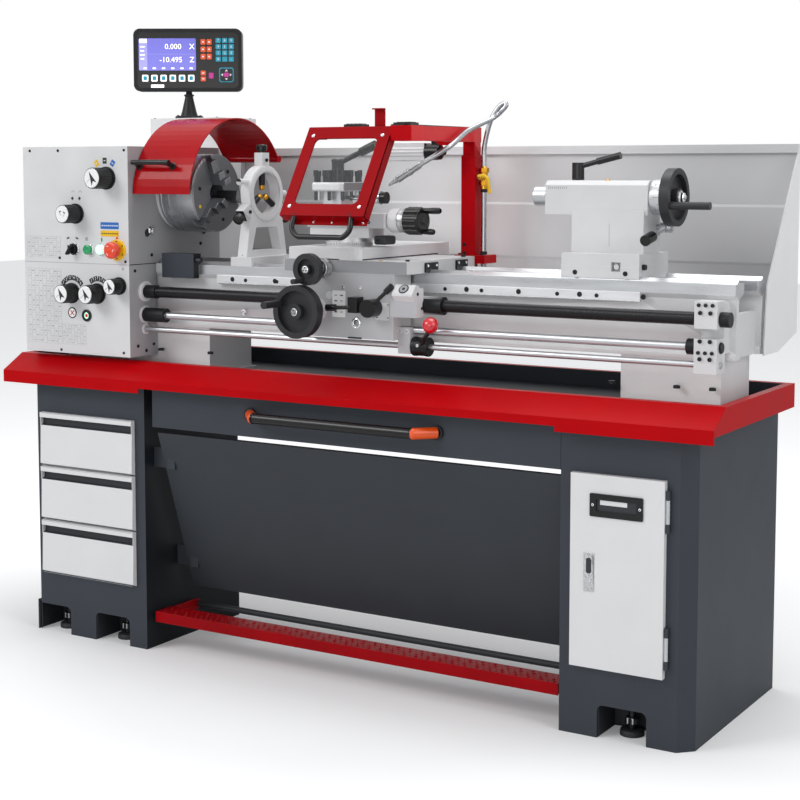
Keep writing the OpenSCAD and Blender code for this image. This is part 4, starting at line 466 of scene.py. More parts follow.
class Build:
    """Collects detail shapes of one body in machine millimetres and makes one object of them."""

    def __init__(self, name, body, slot):
        self.name, self.body, self.slot = name, body, slot
        self.v, self.f, self.k, self.keys = [], [], [], []

    def add(self, verts, faces, key):
        if key not in self.keys:
            self.keys.append(key)
        base = len(self.v)
        self.v += [tuple(p) for p in verts]
        self.f += [tuple(base + i for i in f) for f in faces]
        self.k += [self.keys.index(key)] * len(faces)

    def box(self, x0, x1, y0, y1, z0, z1, key, turn=None, about=None):
        """Box with chamfered edges, turned by (degrees, axis) about a point."""
        c = min(x1 - x0, y1 - y0, z1 - z0) * 0.18
        v = []
        for z, ins in ((z0, c), (z0 + c, 0), (z1 - c, 0), (z1, c)):
            for x, y in ((x0 + ins, y0 + c), (x0 + c, y0 + ins), (x1 - c, y0 + ins), (x1 - ins, y0 + c),
                    (x1 - ins, y1 - c), (x1 - c, y1 - ins), (x0 + c, y1 - ins), (x0 + ins, y1 - c)):
                v.append(Vector((x, y, z)))
        f = [tuple(range(7, -1, -1)), tuple(range(24, 32))]
        f += [(a + i, a + (i + 1) % 8, a + 8 + (i + 1) % 8, a + 8 + i) for a in (0, 8, 16) for i in range(8)]
        if turn:
            about = Vector(about)
            r = Matrix.Rotation(math.radians(turn[0]), 3, Vector(turn[1]))
            v = [about + r @ (p - about) for p in v]
        self.add(v, f, key)

    def lathe(self, at, axis, profile, key, seg=32):
        """profile: (radius, height) or (radius, height, material of the band that follows)."""
        u, w, a = frame_of(axis)
        at = Vector(at)
        rays = [u * math.cos(t) + w * math.sin(t) for t in turns(seg)]
        for p, q in zip(profile, profile[1:]):
            if len(p) > 2:
                key = p[2]
            f = []
            for s in range(seg):
                n = (s + 1) % seg
                if p[0] < 1e-6:
                    f.append((seg + s, seg + n, s))
                elif q[0] < 1e-6:
                    f.append((s, n, seg + s))
                else:
                    f.append((s, n, seg + n, seg + s))
            self.add([at + d * e[0] + a * e[1] for e in (p, q) for d in rays], f, key)

    def disc(self, at, axis, r, t, key):
        c = t * 0.25
        self.lathe(at, axis, [(0, 0), (r, 0), (r, t - c), (r - c, t), (0, t)], key, 28)

    def screw(self, at, axis, d, key="screw", h=None):
        """Socket head screw with a hollow."""
        h = h or d * 0.55
        r = d / 2
        self.lathe(at, axis, [(0, -0.5), (r, -0.5), (r, h * 0.8), (r * 0.86, h), (r * 0.52, h),
            (r * 0.46, h * 0.3), (0, h * 0.25)], key, 14)

    def hexnut(self, at, axis, d, h, key):
        self.lathe(at, axis, [(0, 0), (d / 2, 0), (d / 2, h * 0.8), (d * 0.42, h), (d * 0.2, h),
            (d * 0.18, h * 0.4), (0, h * 0.4)], key, 6)

    def tube(self, pts, r, key, seg=12):
        """Round bar through the points; r is a radius, or one for each point."""
        pts = [Vector(p) for p in pts]
        up = frame_of(pts[1] - pts[0])[0]
        v = []
        for i, p in enumerate(pts):
            d = (pts[min(i + 1, len(pts) - 1)] - pts[max(i - 1, 0)]).normalized()
            up = (up - d * up.dot(d)).normalized()
            w = d.cross(up)
            rr = r[i] if isinstance(r, list) else r
            v += [p + (up * math.cos(t) + w * math.sin(t)) * rr for t in turns(seg)]
        rows, last = range(0, len(v) - seg, seg), len(v) - seg
        f = [(a + s, a + (s + 1) % seg, a + seg + (s + 1) % seg,
            a + seg + s) for a in rows for s in range(seg)]
        f += [tuple(range(seg - 1, -1, -1)), tuple(range(last, last + seg))]
        self.add(v, f, key)

    def plate(self, at, u, w, poly, t, key, hole=None):
        """Polygon in the plane of u and w, thick towards u x w; its hole has as many points as it has."""
        at, u, w = Vector(at), Vector(u).normalized(), Vector(w).normalized()
        n = u.cross(w)
        m = len(poly)
        lo = [at + u * a + w * b for a, b in poly]
        v = lo + [p + n * t for p in lo]
        pairs = [(i, (i + 1) % m) for i in range(m)]
        if hole:
            inner = [at + u * a + w * b for a, b in hole]
            v += inner + [p + n * t for p in inner]
            f = []
            for i, j in pairs:
                f += [(i, j, m + j, m + i), (2 * m + j, 2 * m + i, 3 * m + i, 3 * m + j),
                    (m + i, m + j, 3 * m + j, 3 * m + i), (j, i, 2 * m + i, 2 * m + j)]
        else:
            f = [tuple(range(m - 1, -1, -1)), tuple(range(m, 2 * m))]
            f += [(i, j, m + j, m + i) for i, j in pairs]
        self.add(v, f, key)

    def mark(self, at, u, w, a, b, key, turn=0.0):
        """Thin rectangular print of size a x b centred on at."""
        u, w = Vector(u), Vector(w)
        ct, st = math.cos(math.radians(turn)), math.sin(math.radians(turn))
        corners = [(-a / 2, -b / 2), (a / 2, -b / 2), (a / 2, b / 2), (-a / 2, b / 2)]
        self.plate(at, u * ct + w * st, w * ct - u * st, corners, 0.35, key)

    def text(self, words, at, u, w, size, key):
        cu = bpy.data.curves.new("words", "FONT")
        cu.body = words
        cu.size = size
        cu.resolution_u = 2
        cu.align_x = cu.align_y = "CENTER"
        o = bpy.data.objects.new("words", cu)
        bpy.context.collection.objects.link(o)
        me = bpy.data.meshes.new_from_object(o.evaluated_get(bpy.context.evaluated_depsgraph_get()))
        at, u, w = Vector(at), Vector(u), Vector(w)
        lift = u.cross(w) * 0.3
        v = [at + u * p.co.x + w * p.co.y + lift for p in me.vertices]
        self.add(v, [tuple(p.vertices) for p in me.polygons], key)
        bpy.data.objects.remove(o)
        bpy.data.curves.remove(cu)
        bpy.data.meshes.remove(me)

    def done(self):
        me = bpy.data.meshes.new(self.name)
        me.from_pydata([tuple(P(*p)) for p in self.v], [], self.f)
        for k in self.keys:
            me.materials.append(M[k])
        me.polygons.foreach_set("material_index", self.k)
        me.validate()
        for p in me.polygons:
            p.use_smooth = True
        me.set_sharp_from_angle(angle=math.radians(34))
        o = bpy.data.objects.new(self.name, me)
        bpy.context.collection.objects.link(o)
        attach(o, self.body)
        return o


def smooth_path(pts, step):
    """Smooth curve through the points, in steps of about the given length."""
    pts = [Vector(p) for p in pts]
    ext = [pts[0] * 2 - pts[1]] + pts + [pts[-1] * 2 - pts[-2]]
    out = []
    for i in range(1, len(ext) - 2):
        a, b, c, d = ext[i - 1:i + 3]
        m = max(2, int((c - b).length / step))
        for s in range(m):
            t = s / m
            out.append(0.5 * ((2 * b) + (c - a) * t + (2 * a - 5 * b + 4 * c - d) * t * t + (3 * b - 3 * c
                + d - a) * t ** 3))
    out.append(pts[-1])
    return out


def round_poly(w, h, r, n=5):
    """Rectangle w x h about the origin with rounded corners of n steps."""
    out = []
    cx, cy = w / 2 - r, h / 2 - r
    for sx, sy, a0 in ((1, 1, 0), (-1, 1, 90), (-1, -1, 180), (1, -1, 270)):
        for i in range(n + 1):
            a = math.radians(a0 + 90 * i / n)
            out.append((sx * cx + r * math.cos(a), sy * cy + r * math.sin(a)))
    return out


# ---------------------------------------------------------------- control panel
pan = Build("control_panel_marks", "stand", "light_casting_paint")


def panel_mark(x, z, a, b, key, turn=0.0, out=0.0):
    pan.mark((x, -out, z), X, Z, a, b, key, turn)


def panel_ring(x, z, profile, key, seg=32):
    pan.lathe((x, 0, z), -Y, profile, key, seg)


for x, z in ((-910, 1272), (-812, 1272), (-590, 1272), (-812, 996), (-590, 992), (-812, 757), (-600, 760)):
    pan.screw((x, 0, z), -Y, 7, "screw", 1.6)
pan.box(HX - 356, HX - 0.5, -0.35, 0.4, BED_TOP - 0.7, BED_TOP + 0.7, "ink")
for dx, key, a in ((-27, "yellow", 32), (0, "blackink", 0), (26, "blue", -34)):
    panel_mark(-654 + dx, 1246 - abs(dx) * 0.25, 13, 15, key, a)
    panel_mark(-654 + dx, 1246 - abs(dx) * 0.25, 6, 2, "white", a, 0.4)
for x in (-765, -741):
    panel_mark(x, 1150, 7, 7, "blackink", 45)
    panel_mark(x, 1168, 8, 1.4, "ink", 40)
    panel_mark(x + 5, 1168, 8, 1.4, "ink", -40)
for z, h, key, mark in ((1082, 17, "blue", "white"), (1062, 15, "yellow", "blackink")):
    pan.plate((-641, 0, z), X, Z, round_poly(60, h, 2), 0.5, key)
    for i in range(8):
        panel_mark(-665 + i * 7, z, 4.2, 3, mark, 0, 0.5)
for x, a in ((-782, 20), (-752, -20)):
    panel_mark(x, 1048, 9, 4, "blackink", a)
panel_mark(-719, 1047, 9, 9, "ink")
panel_mark(-668, 1046, 5, 10, "green")
pan.plate((-617, 0, 1050), X, Z, [(-6, -3), (6, -3), (0, 7)], 0.4, "estop")
panel_mark(-617, 1044, 4, 8, "estop")

SELECTOR_X, START_X, BUTTON_Z = -761, -710, 1020
STOP_X, STOP_Z, PLATE_R = -616, 1021, 22      # emergency stop and the marks on its yellow plate
for x, r in ((SELECTOR_X, 17), (START_X, 15)):
    panel_ring(x, BUTTON_Z, [(r - 5, 0), (r, 0), (r, 2), (r - 1.5, 4), (r - 4, 4.2)], "chrome")
panel_ring(-669, 1021, [(15, 0), (15, 2.5), (13, 4, "lamp"), (12.5, 9), (10, 12), (0, 13)], "chrome")
panel_ring(STOP_X, STOP_Z, [(27.4, 0), (27.4, 3.2), (25, 4), (10, 4)], "yellow")
for i in range(6):
    a = math.radians(i * 60 + 30)
    panel_mark(STOP_X + PLATE_R * math.cos(a), STOP_Z + PLATE_R * math.sin(a), 6, 2.4, "blackink",
        math.degrees(a) + 90, 4)

SCALE_R, SCALE_Z = 39, 907
for cx, n, sweep in ((-771, 6, 118), (-684, 4, 84)):
    for i in range(n):
        a = math.radians(90 + sweep / 2 - (i + 0.5) * sweep / n)
        x, z = cx + SCALE_R * math.cos(a), SCALE_Z + SCALE_R * math.sin(a)
        panel_mark(x, z, 12.6, 13, "blackink", math.degrees(a) - 90)
        pan.text(str(i + 1), (x, -0.4, z), X, Z, 11, "white")

CROSS_X = -772                       # round sign with a red cross
panel_ring(CROSS_X, 855, [(13, 0), (13, 0.6), (0, 0.6)], "white", 24)
panel_ring(CROSS_X, 855, [(14.5, 0), (14.5, 0.9), (11.5, 0.9), (11.5, 0.3)], "blackink", 28)
for a in (45, -45):
    panel_mark(CROSS_X, 855, 17, 2.6, "estop", a, 0.6)
panel_ring(-722, 850, [(15.5, 0), (15.5, 3), (13, 4.5), (9, 4.5), (8.4, 1.6, "lamp"), (0, 1.6)], "screw", 24)
panel_ring(-722, 850, [(4.5, 1.6), (4.5, 2.6), (0, 2.6)], "estop", 16)

# printed charts: left edge, lower edge, columns, rows, column width, row height
for x0, z0, cols, rows, cw, rh in ((-926, 996, 9, 5, 13, 11), (-926, 772, 9, 15, 13, 13),
        (-806, 772, 8, 6, 10, 9)):
    for r in range(rows + 1):
        panel_mark(x0 + cols * cw / 2, z0 + r * rh, cols * cw, 0.6, "faint")
    for c in range(cols + 1):
        panel_mark(x0 + c * cw, z0 + rows * rh / 2, 0.6, rows * rh, "faint")
    for r in range(rows):
        for c in range(cols):
            if (r * 5 + c * 3) % 4:
                panel_mark(x0 + (c + 0.5) * cw, z0 + (r + 0.5) * rh, cw * 0.55, rh * 0.22,
                    "faint" if (r + c) % 3 else "ink")
for x, z in ((-611, 944), (-599, 973)):
    panel_mark(x, z, 6, 6, "ink", 45)

# right end of the headstock and gearbox
pan.box(HX - 0.3, HX + 0.7, 2, 104, BED_TOP - 1, BED_TOP + 1, "blackink")
for y, z, d in ((88, 1006, 9), (30, 776, 9), (62, 762, 9), (92, 776, 8), (22, 968, 8), (289, 1028, 9)):
    pan.screw((HX, y, z), X, d, "screw", 1.8)
for y, z, profile, key, seg in (
        (87, 1069, [(12, -0.4), (12, 2), (9, 5), (6, 5), (5, 1.5), (0, 1.5)], "chrome", 20),
        (ROD_Y, SCREW_Z, [(26, -0.4), (26, 5), (23, 7), (16, 7), (15, 3)], "cast", 32),
        (ROD_Y, FEED_Z, [(23, -0.4), (23, 3), (20, 4), (11, 4)], "cast", 32),
        (ROD_Y, CONTROL_Z, [(14, -0.4), (14, 3), (12, 4), (8, 4)], "cast", 24),
        (AY, AZ, [(92, -0.4), (92, 6), (88, 9), (66, 9)], "cast", 48)):
    pan.lathe((HX, y, z), X, profile, key, seg)
pan.done()


def knob_face(name):
    """Ribs, rim and pointer of a knob; the mode knob has two small signs in place of the pointer."""
    (x0, x1), (y0, _), (z0, z1) = lim(name)
    cx, cz, r = (x0 + x1) / 2, (z0 + z1) / 2, (x1 - x0) / 2 - 3
    b = Build(name + "_face", name, "black_plastic")
    for a in turns(26):
        x, z = cx + (r - 0.2) * math.cos(a), cz + (r - 0.2) * math.sin(a)
        b.tube([(x, -5.5, z), (x, y0 + 5, z)], 1.1, "black", 6)
    b.lathe((cx, y0 + 1, cz), -Y, [(r, 0), (r, 0.8), (r * 0.94, 1.8, "chrome"), (r * 0.88, 2.0, "white"),
        (r * 0.84, 1.2), (0, 1.2)], "black", 36)
    signs = name == "mode_knob"
    a = math.radians(80 if signs else 118)
    d, e = Vector((math.cos(a), 0, math.sin(a))), Vector((math.sin(a), 0, -math.cos(a)))
    c = Vector((cx, y0 - 0.2, cz))
    if signs:
        for s in (-1, 1):
            b.mark(c + e * s * r * 0.3, X, Z, r * 0.5, 1.6, "ink", 60 * s)
            b.mark(c + e * s * r * 0.3 + Z * 5, X, Z, r * 0.24, 3.2, "blackink", -30 * s)
    else:
        q = [c + d * r * 0.7, c - d * r * 0.62 + e * r * 0.34, c - d * r * 0.3,
            c - d * r * 0.62 - e * r * 0.34]
        b.add(q + [p - Y * 0.6 for p in q], [(0, 1, 2), (0, 2, 3), (4, 6, 5), (4, 7, 6), (0, 4, 5, 1),
            (1, 5, 6, 2), (2, 6, 7, 3), (3, 7, 4, 0)], "blackink")
        b.mark(c - Y * 0.3 - e * r * 0.5, X, Z, r * 0.5, 1, "ink", 40)
    b.done()


for name in ("speed_knob", "mode_knob", "feed_knob_a", "feed_knob_b", "feed_knob_c"):
    knob_face(name)
b = Build("selector_pointer", "selector_switch", "black_plastic")
b.box(SELECTOR_X - 3, SELECTOR_X + 3, -25, -12, BUTTON_Z - 16, BUTTON_Z + 16, "black", turn=(35, Y),
    about=(SELECTOR_X, 0, BUTTON_Z))
b.mark((SELECTOR_X + 4, -25, BUTTON_Z + 13), X, Z, 2, 7, "white", 35)
b.done()
b = Build("start_button_cap", "start_button", "green_plastic")
b.lathe((START_X, -3.5, BUTTON_Z), -Y, [(12.6, 0), (12.6, 5), (11.4, 7.8), (9, 8.6), (0, 8)], "green", 32)
b.done()
b = Build("emergency_stop_cap", "emergency_stop", "orange_plastic")
b.lathe((STOP_X, -16, STOP_Z), -Y, [(9, -9), (12, -4), (18, -1), (21.2, 2), (21.6, 9), (20, 13.6), (14, 15.8),
    (0, 16.4)], "estop", 40)
for i in range(3):
    a = math.radians(i * 120)
    b.mark((STOP_X + 12 * math.cos(a), -32.1, STOP_Z + 12 * math.sin(a)), X, Z, 7, 1.6, "white",
        math.degrees(a) + 60)
b.done()

# ---------------------------------------------------------------- position display
SX, SY, SZ = -745.85, 457.0, 1364                       # foot of the stem
DZ = (lim("position_display")[2][0] + lim("position_display")[2][1]) / 2
TURN = math.radians(31)
DU, DN = Vector((math.cos(TURN), math.sin(TURN), 0)), Vector((math.sin(TURN), -math.cos(TURN), 0))
dro = Build("display_face", "position_display", "black_plastic")


def dp(u, w, out):
    return Vector((SX, SY, DZ)) + DU * u + Z * w + DN * out


def pad(u, w, out, width, height, r, n, t, key):
    dro.plate(dp(u, w, out), DU, Z, round_poly(width, height, r, n), t, key)


def dro_mark(u, w, out, a, b, key):
    dro.mark(dp(u, w, out), DU, Z, a, b, key)


dro.plate(dp(0, 0, 20.6), DU, Z, round_poly(296, 168, 17, 6), 2.2, "black_satin", round_poly(280, 152, 13, 6))
pad(0, 0, 20.2, 282, 154, 13, 6, 1.0, "black")
pad(-56, 15, 21.1, 158, 88, 3, 4, 0.8, "screen")
pad(-123, 15, 21.6, 23, 86, 2, 4, 0.6, "screen_side")
pad(-123, 52, 22.1, 20, 11, 1.5, 4, 0.5, "digits")
for i in range(4):
    dro_mark(-125, 36 - i * 11, 22.2, 13 - 3 * (i % 2), 3, "digits")
dro_mark(-45, 16, 21.8, 134, 0.7, "screen_side")
for words, u, w in (("0.000", -40, 36), ("-10.495", -46, 0), ("X", 12, 36), ("Z", 12, 0)):
    dro.text(words, dp(u, w, 21.9), DU, Z, 21, "digits")
for i in range(6):
    u = -118 + i * 25.5
    dro_mark(u, -23, 21.9, 9, 4, "digits")
    pad(u, -50, 21.2, 17, 18, 2.5, 4, 1.4, "digits")
    pad(u, -50, 22.4, 10, 11, 1.5, 4, 0.8, "cyan")
for r in range(3):
    for u in (43, 60):
        pad(u, 49 - r * 20, 21.2, 13.5, 15, 2, 4, 1.8, "orange")
        dro_mark(u, 49 - r * 20, 23.1, 5, 4, "white")
for r, row in enumerate(("789", "456", "123", "0.-")):
    for c, digit in enumerate(row):
        u, w = 85 + c * 18, 53 - r * 17
        pad(u, w, 21.2, 14, 13.5, 2, 4, 1.8, "cyan")
        dro.text(digit, dp(u, w, 22.9), DU, Z, 10, "white")
for w in (-36, -52):
    pad(43, w, 21.2, 14, 13, 2, 4, 1.8, "orange")
    dro_mark(43, w, 23.1, 6, 3, "white")
pad(65, -43, 21.2, 13, 16, 2, 4, 1.8, "magenta")
pad(107, -41, 21.2, 40, 40, 6, 5, 0.8, "cyan")
pad(107, -41, 21.6, 35, 35, 5, 5, 0.9, "black")
pad(107, -41, 22.2, 13, 12, 3, 4, 1.4, "magenta")
for a in turns(4):
    d, e = DU * math.cos(a) + Z * math.sin(a), Z * math.cos(a) - DU * math.sin(a)
    dro.plate(dp(107, -41, 22.2), d, e, [(9.5, -4), (15, 0), (9.5, 4)], 0.9, "white")
pad(-84, -72, 21.4, 36, 9, 1, 3, 0.6, "digits")
for u in (-136, 136):
    for w in (-72, 72):
        dro.screw(dp(u, w, -21), -DN, 7)
for i in range(9):
    # dark vent slots on the back: painted shade
    dro.mark(dp(-40 + i * 10, 30, -21.1), -DU, Z, 4, 50, "graphite_dark_and_shade")
dro.done()
stem = Build("display_stem_boot", "stand", "black_plastic")
stem.lathe((SX, SY, SZ), Z, [(39, 0), (39, 6), (36, 8.6), (24, 9), (20, 22), (13, 52), (11, 62), (14, 64),
    (14, 67), (9, 69), (8.2, 75.5)], "black_satin", 40)
for a in turns(4, math.radians(45)):
    stem.screw((SX + 31 * math.cos(a), SY + 31 * math.sin(a), SZ + 8), Z, 7, "screw", 3)
for y in (380, 530):
    for x in (-805, -590):
        stem.screw((x, y, SZ), Z, 7, "screw", 1.5)
for z in (1330, 1180, 1020):
    stem.box(-815.6, -814, 400, 420, z - 20, z + 20, "steel")
stem.done()

# ---------------------------------------------------------------- chuck and its guard
ck = Build("chuck_details", "spindle_set", "bare_steel")
cx0, cx1 = lim("chuck")[0]
for i in range(3):
    d = around(math.radians(170 + i * 120))
    key_hole = Vector((cx0 + 48, AY, AZ))
    ck.screw(Vector((cx1, AY, AZ)) + d * 72, X, 11, "screw", 1.0)
    ck.lathe(key_hole + d * 99.4, d, [(14.5, 0), (14.5, 0.9), (12.2, 0.9), (12, -6)], "chrome", 28)
    # dark cup in each key hole: painted shade
    ck.lathe(key_hole + d * 90, d, [(11.9, 9.6), (11.9, 0), (0, 0)], "graphite_dark_and_shade", 24)
ck.lathe((cx1, 130, 1130), X, [(4.5, 0), (4.5, 0.5), (0, 0.5)], "yellow", 18)
ck.lathe((cx0, AY, AZ), X, [(97.3, 3), (98.6, 4), (98.6, 8), (97.3, 9)], "chuck_side", 72)
ck.lathe((cx0 + 22.5, AY, AZ), X, [(100.3, 6), (100.6, 7), (100.6, 12), (100.3, 13)], "chuck_side", 72)
ck.done()
TOOTH = 3.4
for i in (1, 2, 3):
    a = math.radians((i - 1) * 120 + 20)
    d = Vector((0, -math.sin(a), math.cos(a)))
    j = Build(f"jaw_{i}_teeth", f"jaw_{i}", "bare_steel")
    for lo, hi, x in ((26, 40, -409), (40, 58, -423), (58, 88, -438)):
        for s in range(int((hi - lo) / TOOTH)):
            j.plate(Vector((x, AY, AZ)) + d * (lo + 2.4 + s * TOOTH), around(a), d,
                [(-11.8, -0.8), (11.8, -0.8), (11.8, 0.8), (-11.8, 0.8)], 0.5, "jaw")
    j.done()
cg = Build("chuck_guard_trim", "chuck_guard", "red_paint")
GC = Vector((0, GUARD_Y, GUARD_Z))
HEM_R, ARC0, ARC1, ARC_STEPS = 201.0, 28, 177, 60
arc = [math.radians(ARC0 + (ARC1 - ARC0) * i / ARC_STEPS) for i in range(ARC_STEPS + 1)]
for x in (lim("chuck_guard")[0][1] - 1.5, -573.5):
    cg.tube([(x, GC.y + HEM_R * math.cos(a), GC.z + HEM_R * math.sin(a)) for a in arc], 1.9, "red_gloss", 8)
out = around(math.radians(157))
bow = ((203, -563), (214, -563), (226, -556), (229, -540), (229, -480), (226, -464), (214, -457), (203, -457))
cg.tube(smooth_path([GC + out * r + X * x for r, x in bow], 5), 6.6, "black", 14)
for x in (-563, -457):
    cg.disc(GC + out * 203 + X * x, out, 10, 2.4, "black")
back = around(math.radians(36))
for x in (-560, -500, -420):
    cg.screw(GC + back * 204.2 + X * x, back, 8, "screw", 2)
cg.done()

# ---------------------------------------------------------------- tool guard and its arm
GX, GY, GZ, GL, LEAN = 67.0, 35.0, 1320.0, 238.0, 31.6      # upper edge, length and slope of the shell
SINT, COST = math.sin(math.radians(LEAN)), math.cos(math.radians(LEAN))
GUP, GOUT = Vector((0, SINT, COST)), Vector((0, -COST, SINT))
LEANING = dict(turn=(-LEAN, (1, 0, 0)), about=(GX, GY, GZ))


def gp(x, y, z):
    return Vector((GX + x, GY + y * COST + z * SINT, GZ - y * SINT + z * COST))


g = Build("tool_guard_shell", "tool_guard", "red_paint")
g.plate(gp(0, 0, -119), X, GUP, round_poly(229, 238, 2, 6), 4, "red_guard", round_poly(171, 176, 14, 6))
g.plate(gp(0, 3.5, -119), X, GUP, round_poly(189, 192, 3, 3), 3, "glass")
for x0, x1, y0, y1, z0, z1 in ((-114.5, -112.0, -3.8, 22, -238, 0), (112.0, 114.5, -3.8, 22, -238, 0),
        (-114.5, 114.5, -3.8, 22, -238, -235.5), (-114.5, 114.5, -3.8, 14, -2.5, 0),
        (-90, 114, 18, 21, -249, -234)):
    g.box(GX + x0, GX + x1, GY + y0, GY + y1, GZ + z0, GZ + z1, "red_guard", **LEANING)
for x in (-30, 20, 104):
    g.screw(gp(x, 18, -243), GOUT, 6, "chrome", 2)
for x in (-95, 95):
    for z in (-24, -214):
        g.lathe(gp(x, -4, z), GOUT, [(0, -0.4), (4.6, -0.4), (4.4, 1.2), (2.4, 2.2), (1.8, 1.2), (0, 1.2)],
            "chrome", 18)
yb, zb = GY - GL * SINT, GZ - GL * COST      # lower edge of the shell
half = [(-76, 8, 6), (-79, 0, -12), (-78, -5, -30), (-62, -8, -45), (-40, -8, -46)]
half += [(-x, y, z) for x, y, z in reversed(half)]
g.tube(smooth_path([(GX + x, yb + y, zb + z) for x, y, z in half], 5), 6.3, "black", 16)
for x in (-76, 76):
    g.disc((GX + x, yb + 6.5, zb + 3), -GUP, 9, 3, "black_satin")
HINGE_Y, HINGE_Z = 51, 1304
for x in (-35.5, 147.5):
    g.lathe((x, HINGE_Y, HINGE_Z), X, [(6.3, 0), (11, 0), (11, 22), (6.3, 22)], "red_guard", 28)
    g.box(x, x + 22, 37, HINGE_Y, HINGE_Z, HINGE_Z + 13, "red_guard")
g.box(129.5, 157.5, 37, 40, 1314, 1363, "red_guard")
g.box(129.5, 157.5, 25, 40, 1360, 1363, "red_guard")
g.box(46, 96, 34, 68, 1321, 1328, "black")
g.box(56, 86, 44, 60, 1312, 1322, "red_guard")
for i in range(4):
    g.box(52 + i * 11.3, 56 + i * 11.3, 36, 64, 1328, 1329.4, "black_satin")
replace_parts(g.done(), "tool_guard")
arm = Build("guard_arm_trim", "carriage", "red_paint")
for i in range(4):
    arm.box(190 + i * 10, 194 + i * 10, 36, 64, 1330, 1331.4, "black_satin")
for a in turns(16):
    y, z = LAMP_Y + 19.6 * math.cos(a), LAMP_Z + 19.6 * math.sin(a)
    arm.tube([(-9, y, z), (114, y, z)], 2.4, "pale", 8)
for i in range(5):
    arm.lathe((117 + i * 6.4, LAMP_Y, LAMP_Z), X, [(19, 0), (19.8, 0.5), (19.8, 3.6), (19, 4.2)], "black", 32)
arm.lathe((151, LAMP_Y, LAMP_Z), X, [(19, 0), (17, 3), (9, 4), (8, 14), (0, 14)], "black", 32)
arm.lathe((-14, LAMP_Y, LAMP_Z), -X, [(20.6, 0), (20, 3), (16, 3.6), (15, 1), (0, 1)], "pale", 32)
for z in (1020, 1040):
    arm.screw((190, 353, z), -Y, 8, "screw", 3)
for x in (176, 238):
    arm.screw((x, 356, 1015), Z, 9, "screw", 4)

# ---------------------------------------------------------------- coolant hose
PX, PY, PIPE_Z0, PIPE_Z1 = 234, 372, 960, 1178
HOSE_Z = 1278
hose = Build("coolant_hose", "carriage", "bare_steel")
hose.lathe((PX, PY, PIPE_Z0), Z, [(0, 0), (6.5, 0), (6.5, PIPE_Z1 - PIPE_Z0)], "hose_chrome", 20)
for z in (1016, 1168):
    hose.lathe((PX, PY, z), Z, [(6.5, 0), (8.6, 0.8), (8.6, 7.2), (6.5, 8)], "black_satin", 20)
hose.lathe((PX, PY, PIPE_Z1 - 2), Z, [(6.5, 0), (9, 0.5), (9, 51), (7, 54), (5.6, 56)], "brass", 24)
for up in (6, 38):
    hose.lathe((PX, PY, PIPE_Z1 + up), Z, [(9, 0), (12.6, 0.8), (12.6, 11.2), (9, 12)], "brass", 6)
hose.lathe((PX, PY, PIPE_Z1 + 27), -Y, [(7.4, 0), (7.4, 18), (5.4, 19), (5.4, 25), (3.4, 26), (0, 26)],
    "brass", 20)
handle = ((-4, -22, 29), (10, -23, 31), (22, -23, 24), (25, -22, 6), (28, -22, -12))
hose.tube(smooth_path([(PX + x, PY + y, PIPE_Z1 + z) for x, y, z in handle], 4), 4.2, "yellow", 12)
hose.tube(smooth_path([(234, 372, HOSE_Z - 50), (234, 373, HOSE_Z), (248, 377, HOSE_Z + 62),
    (268, 381, HOSE_Z + 96), (284, 383, HOSE_Z + 106), (289, 382, HOSE_Z + 101), (281, 379, HOSE_Z + 90),
    (258, 372, HOSE_Z + 70), (232, 298, HOSE_Z + 39), (226, 216, HOSE_Z), (162, 181, HOSE_Z - 45)], 7), 6.0,
    "hose_chrome", 16)
a, b = Vector((163, 181.6, 1233.4)), Vector((124, 147, 1200))
n = (b - a).length
hose.lathe(a, b - a, [(6.0, -4), (8.2, 0), (8.2, n * 0.35), (9.6, n * 0.37), (9.6, n * 0.5), (8.8, n * 0.53),
    (8.8, n), (6.2, n + 3), (6.2, n + 8), (5.2, n + 9), (2.8, n + 25), (0, n + 25)], "hose_chrome", 24)
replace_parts(hose.done(), "coolant_pipe")

# ---------------------------------------------------------------- carriage
CHART_X, CHART_Z = 41, 911
arm.plate((CHART_X, APRON_Y, CHART_Z), X, Z, round_poly(36, 62, 2, 3), 0.9, "white")
for r in range(4):
    for q in range(2):
        arm.mark((CHART_X - 8 + q * 16, 19, CHART_Z + 20 - r * 13), X, Z, 8, 2.4,
            "blackink" if (r + q) % 2 else "ink")
arm.lathe((14, APRON_Y, 930), -Y, [(9, -0.3), (9, 1), (7.4, 1.6), (0, 1.6)], "light", 24)
for x in (52, 101):
    arm.screw((x, APRON_Y, 950), -Y, 7, "chrome", 1.2)
# the dark centres of the holes here and the dark slot below are painted shade
arm.lathe((90, APRON_Y, 868), -Y, [(12, -0.3), (12, 3), (9.6, 4), (9, 1.2), (5, 1.2, "graphite_dark_and_shade"),
    (4.6, 2.4, "chrome"), (0, 2.4)], "chrome", 28)
arm.plate((160, APRON_Y, 898), X, Z, round_poly(40, 40, 5, 3), 0.7, "light")
for x, z in ((176, 914), (176, 884), (146, 884)):
    arm.mark((x, 19.2, z), X, Z, 5, 2, "blackink")
arm.box(66, 104, 19, 20.4, 831, 835, "graphite_dark_and_shade")
for x in (196, 213):
    arm.lathe((x, 42, 853), -Y, [(5.6, -0.3), (5.6, 0.8), (3.4, 1, "graphite_dark_and_shade"), (3, -0.2), (0, -0.2)],
        "cast", 18)
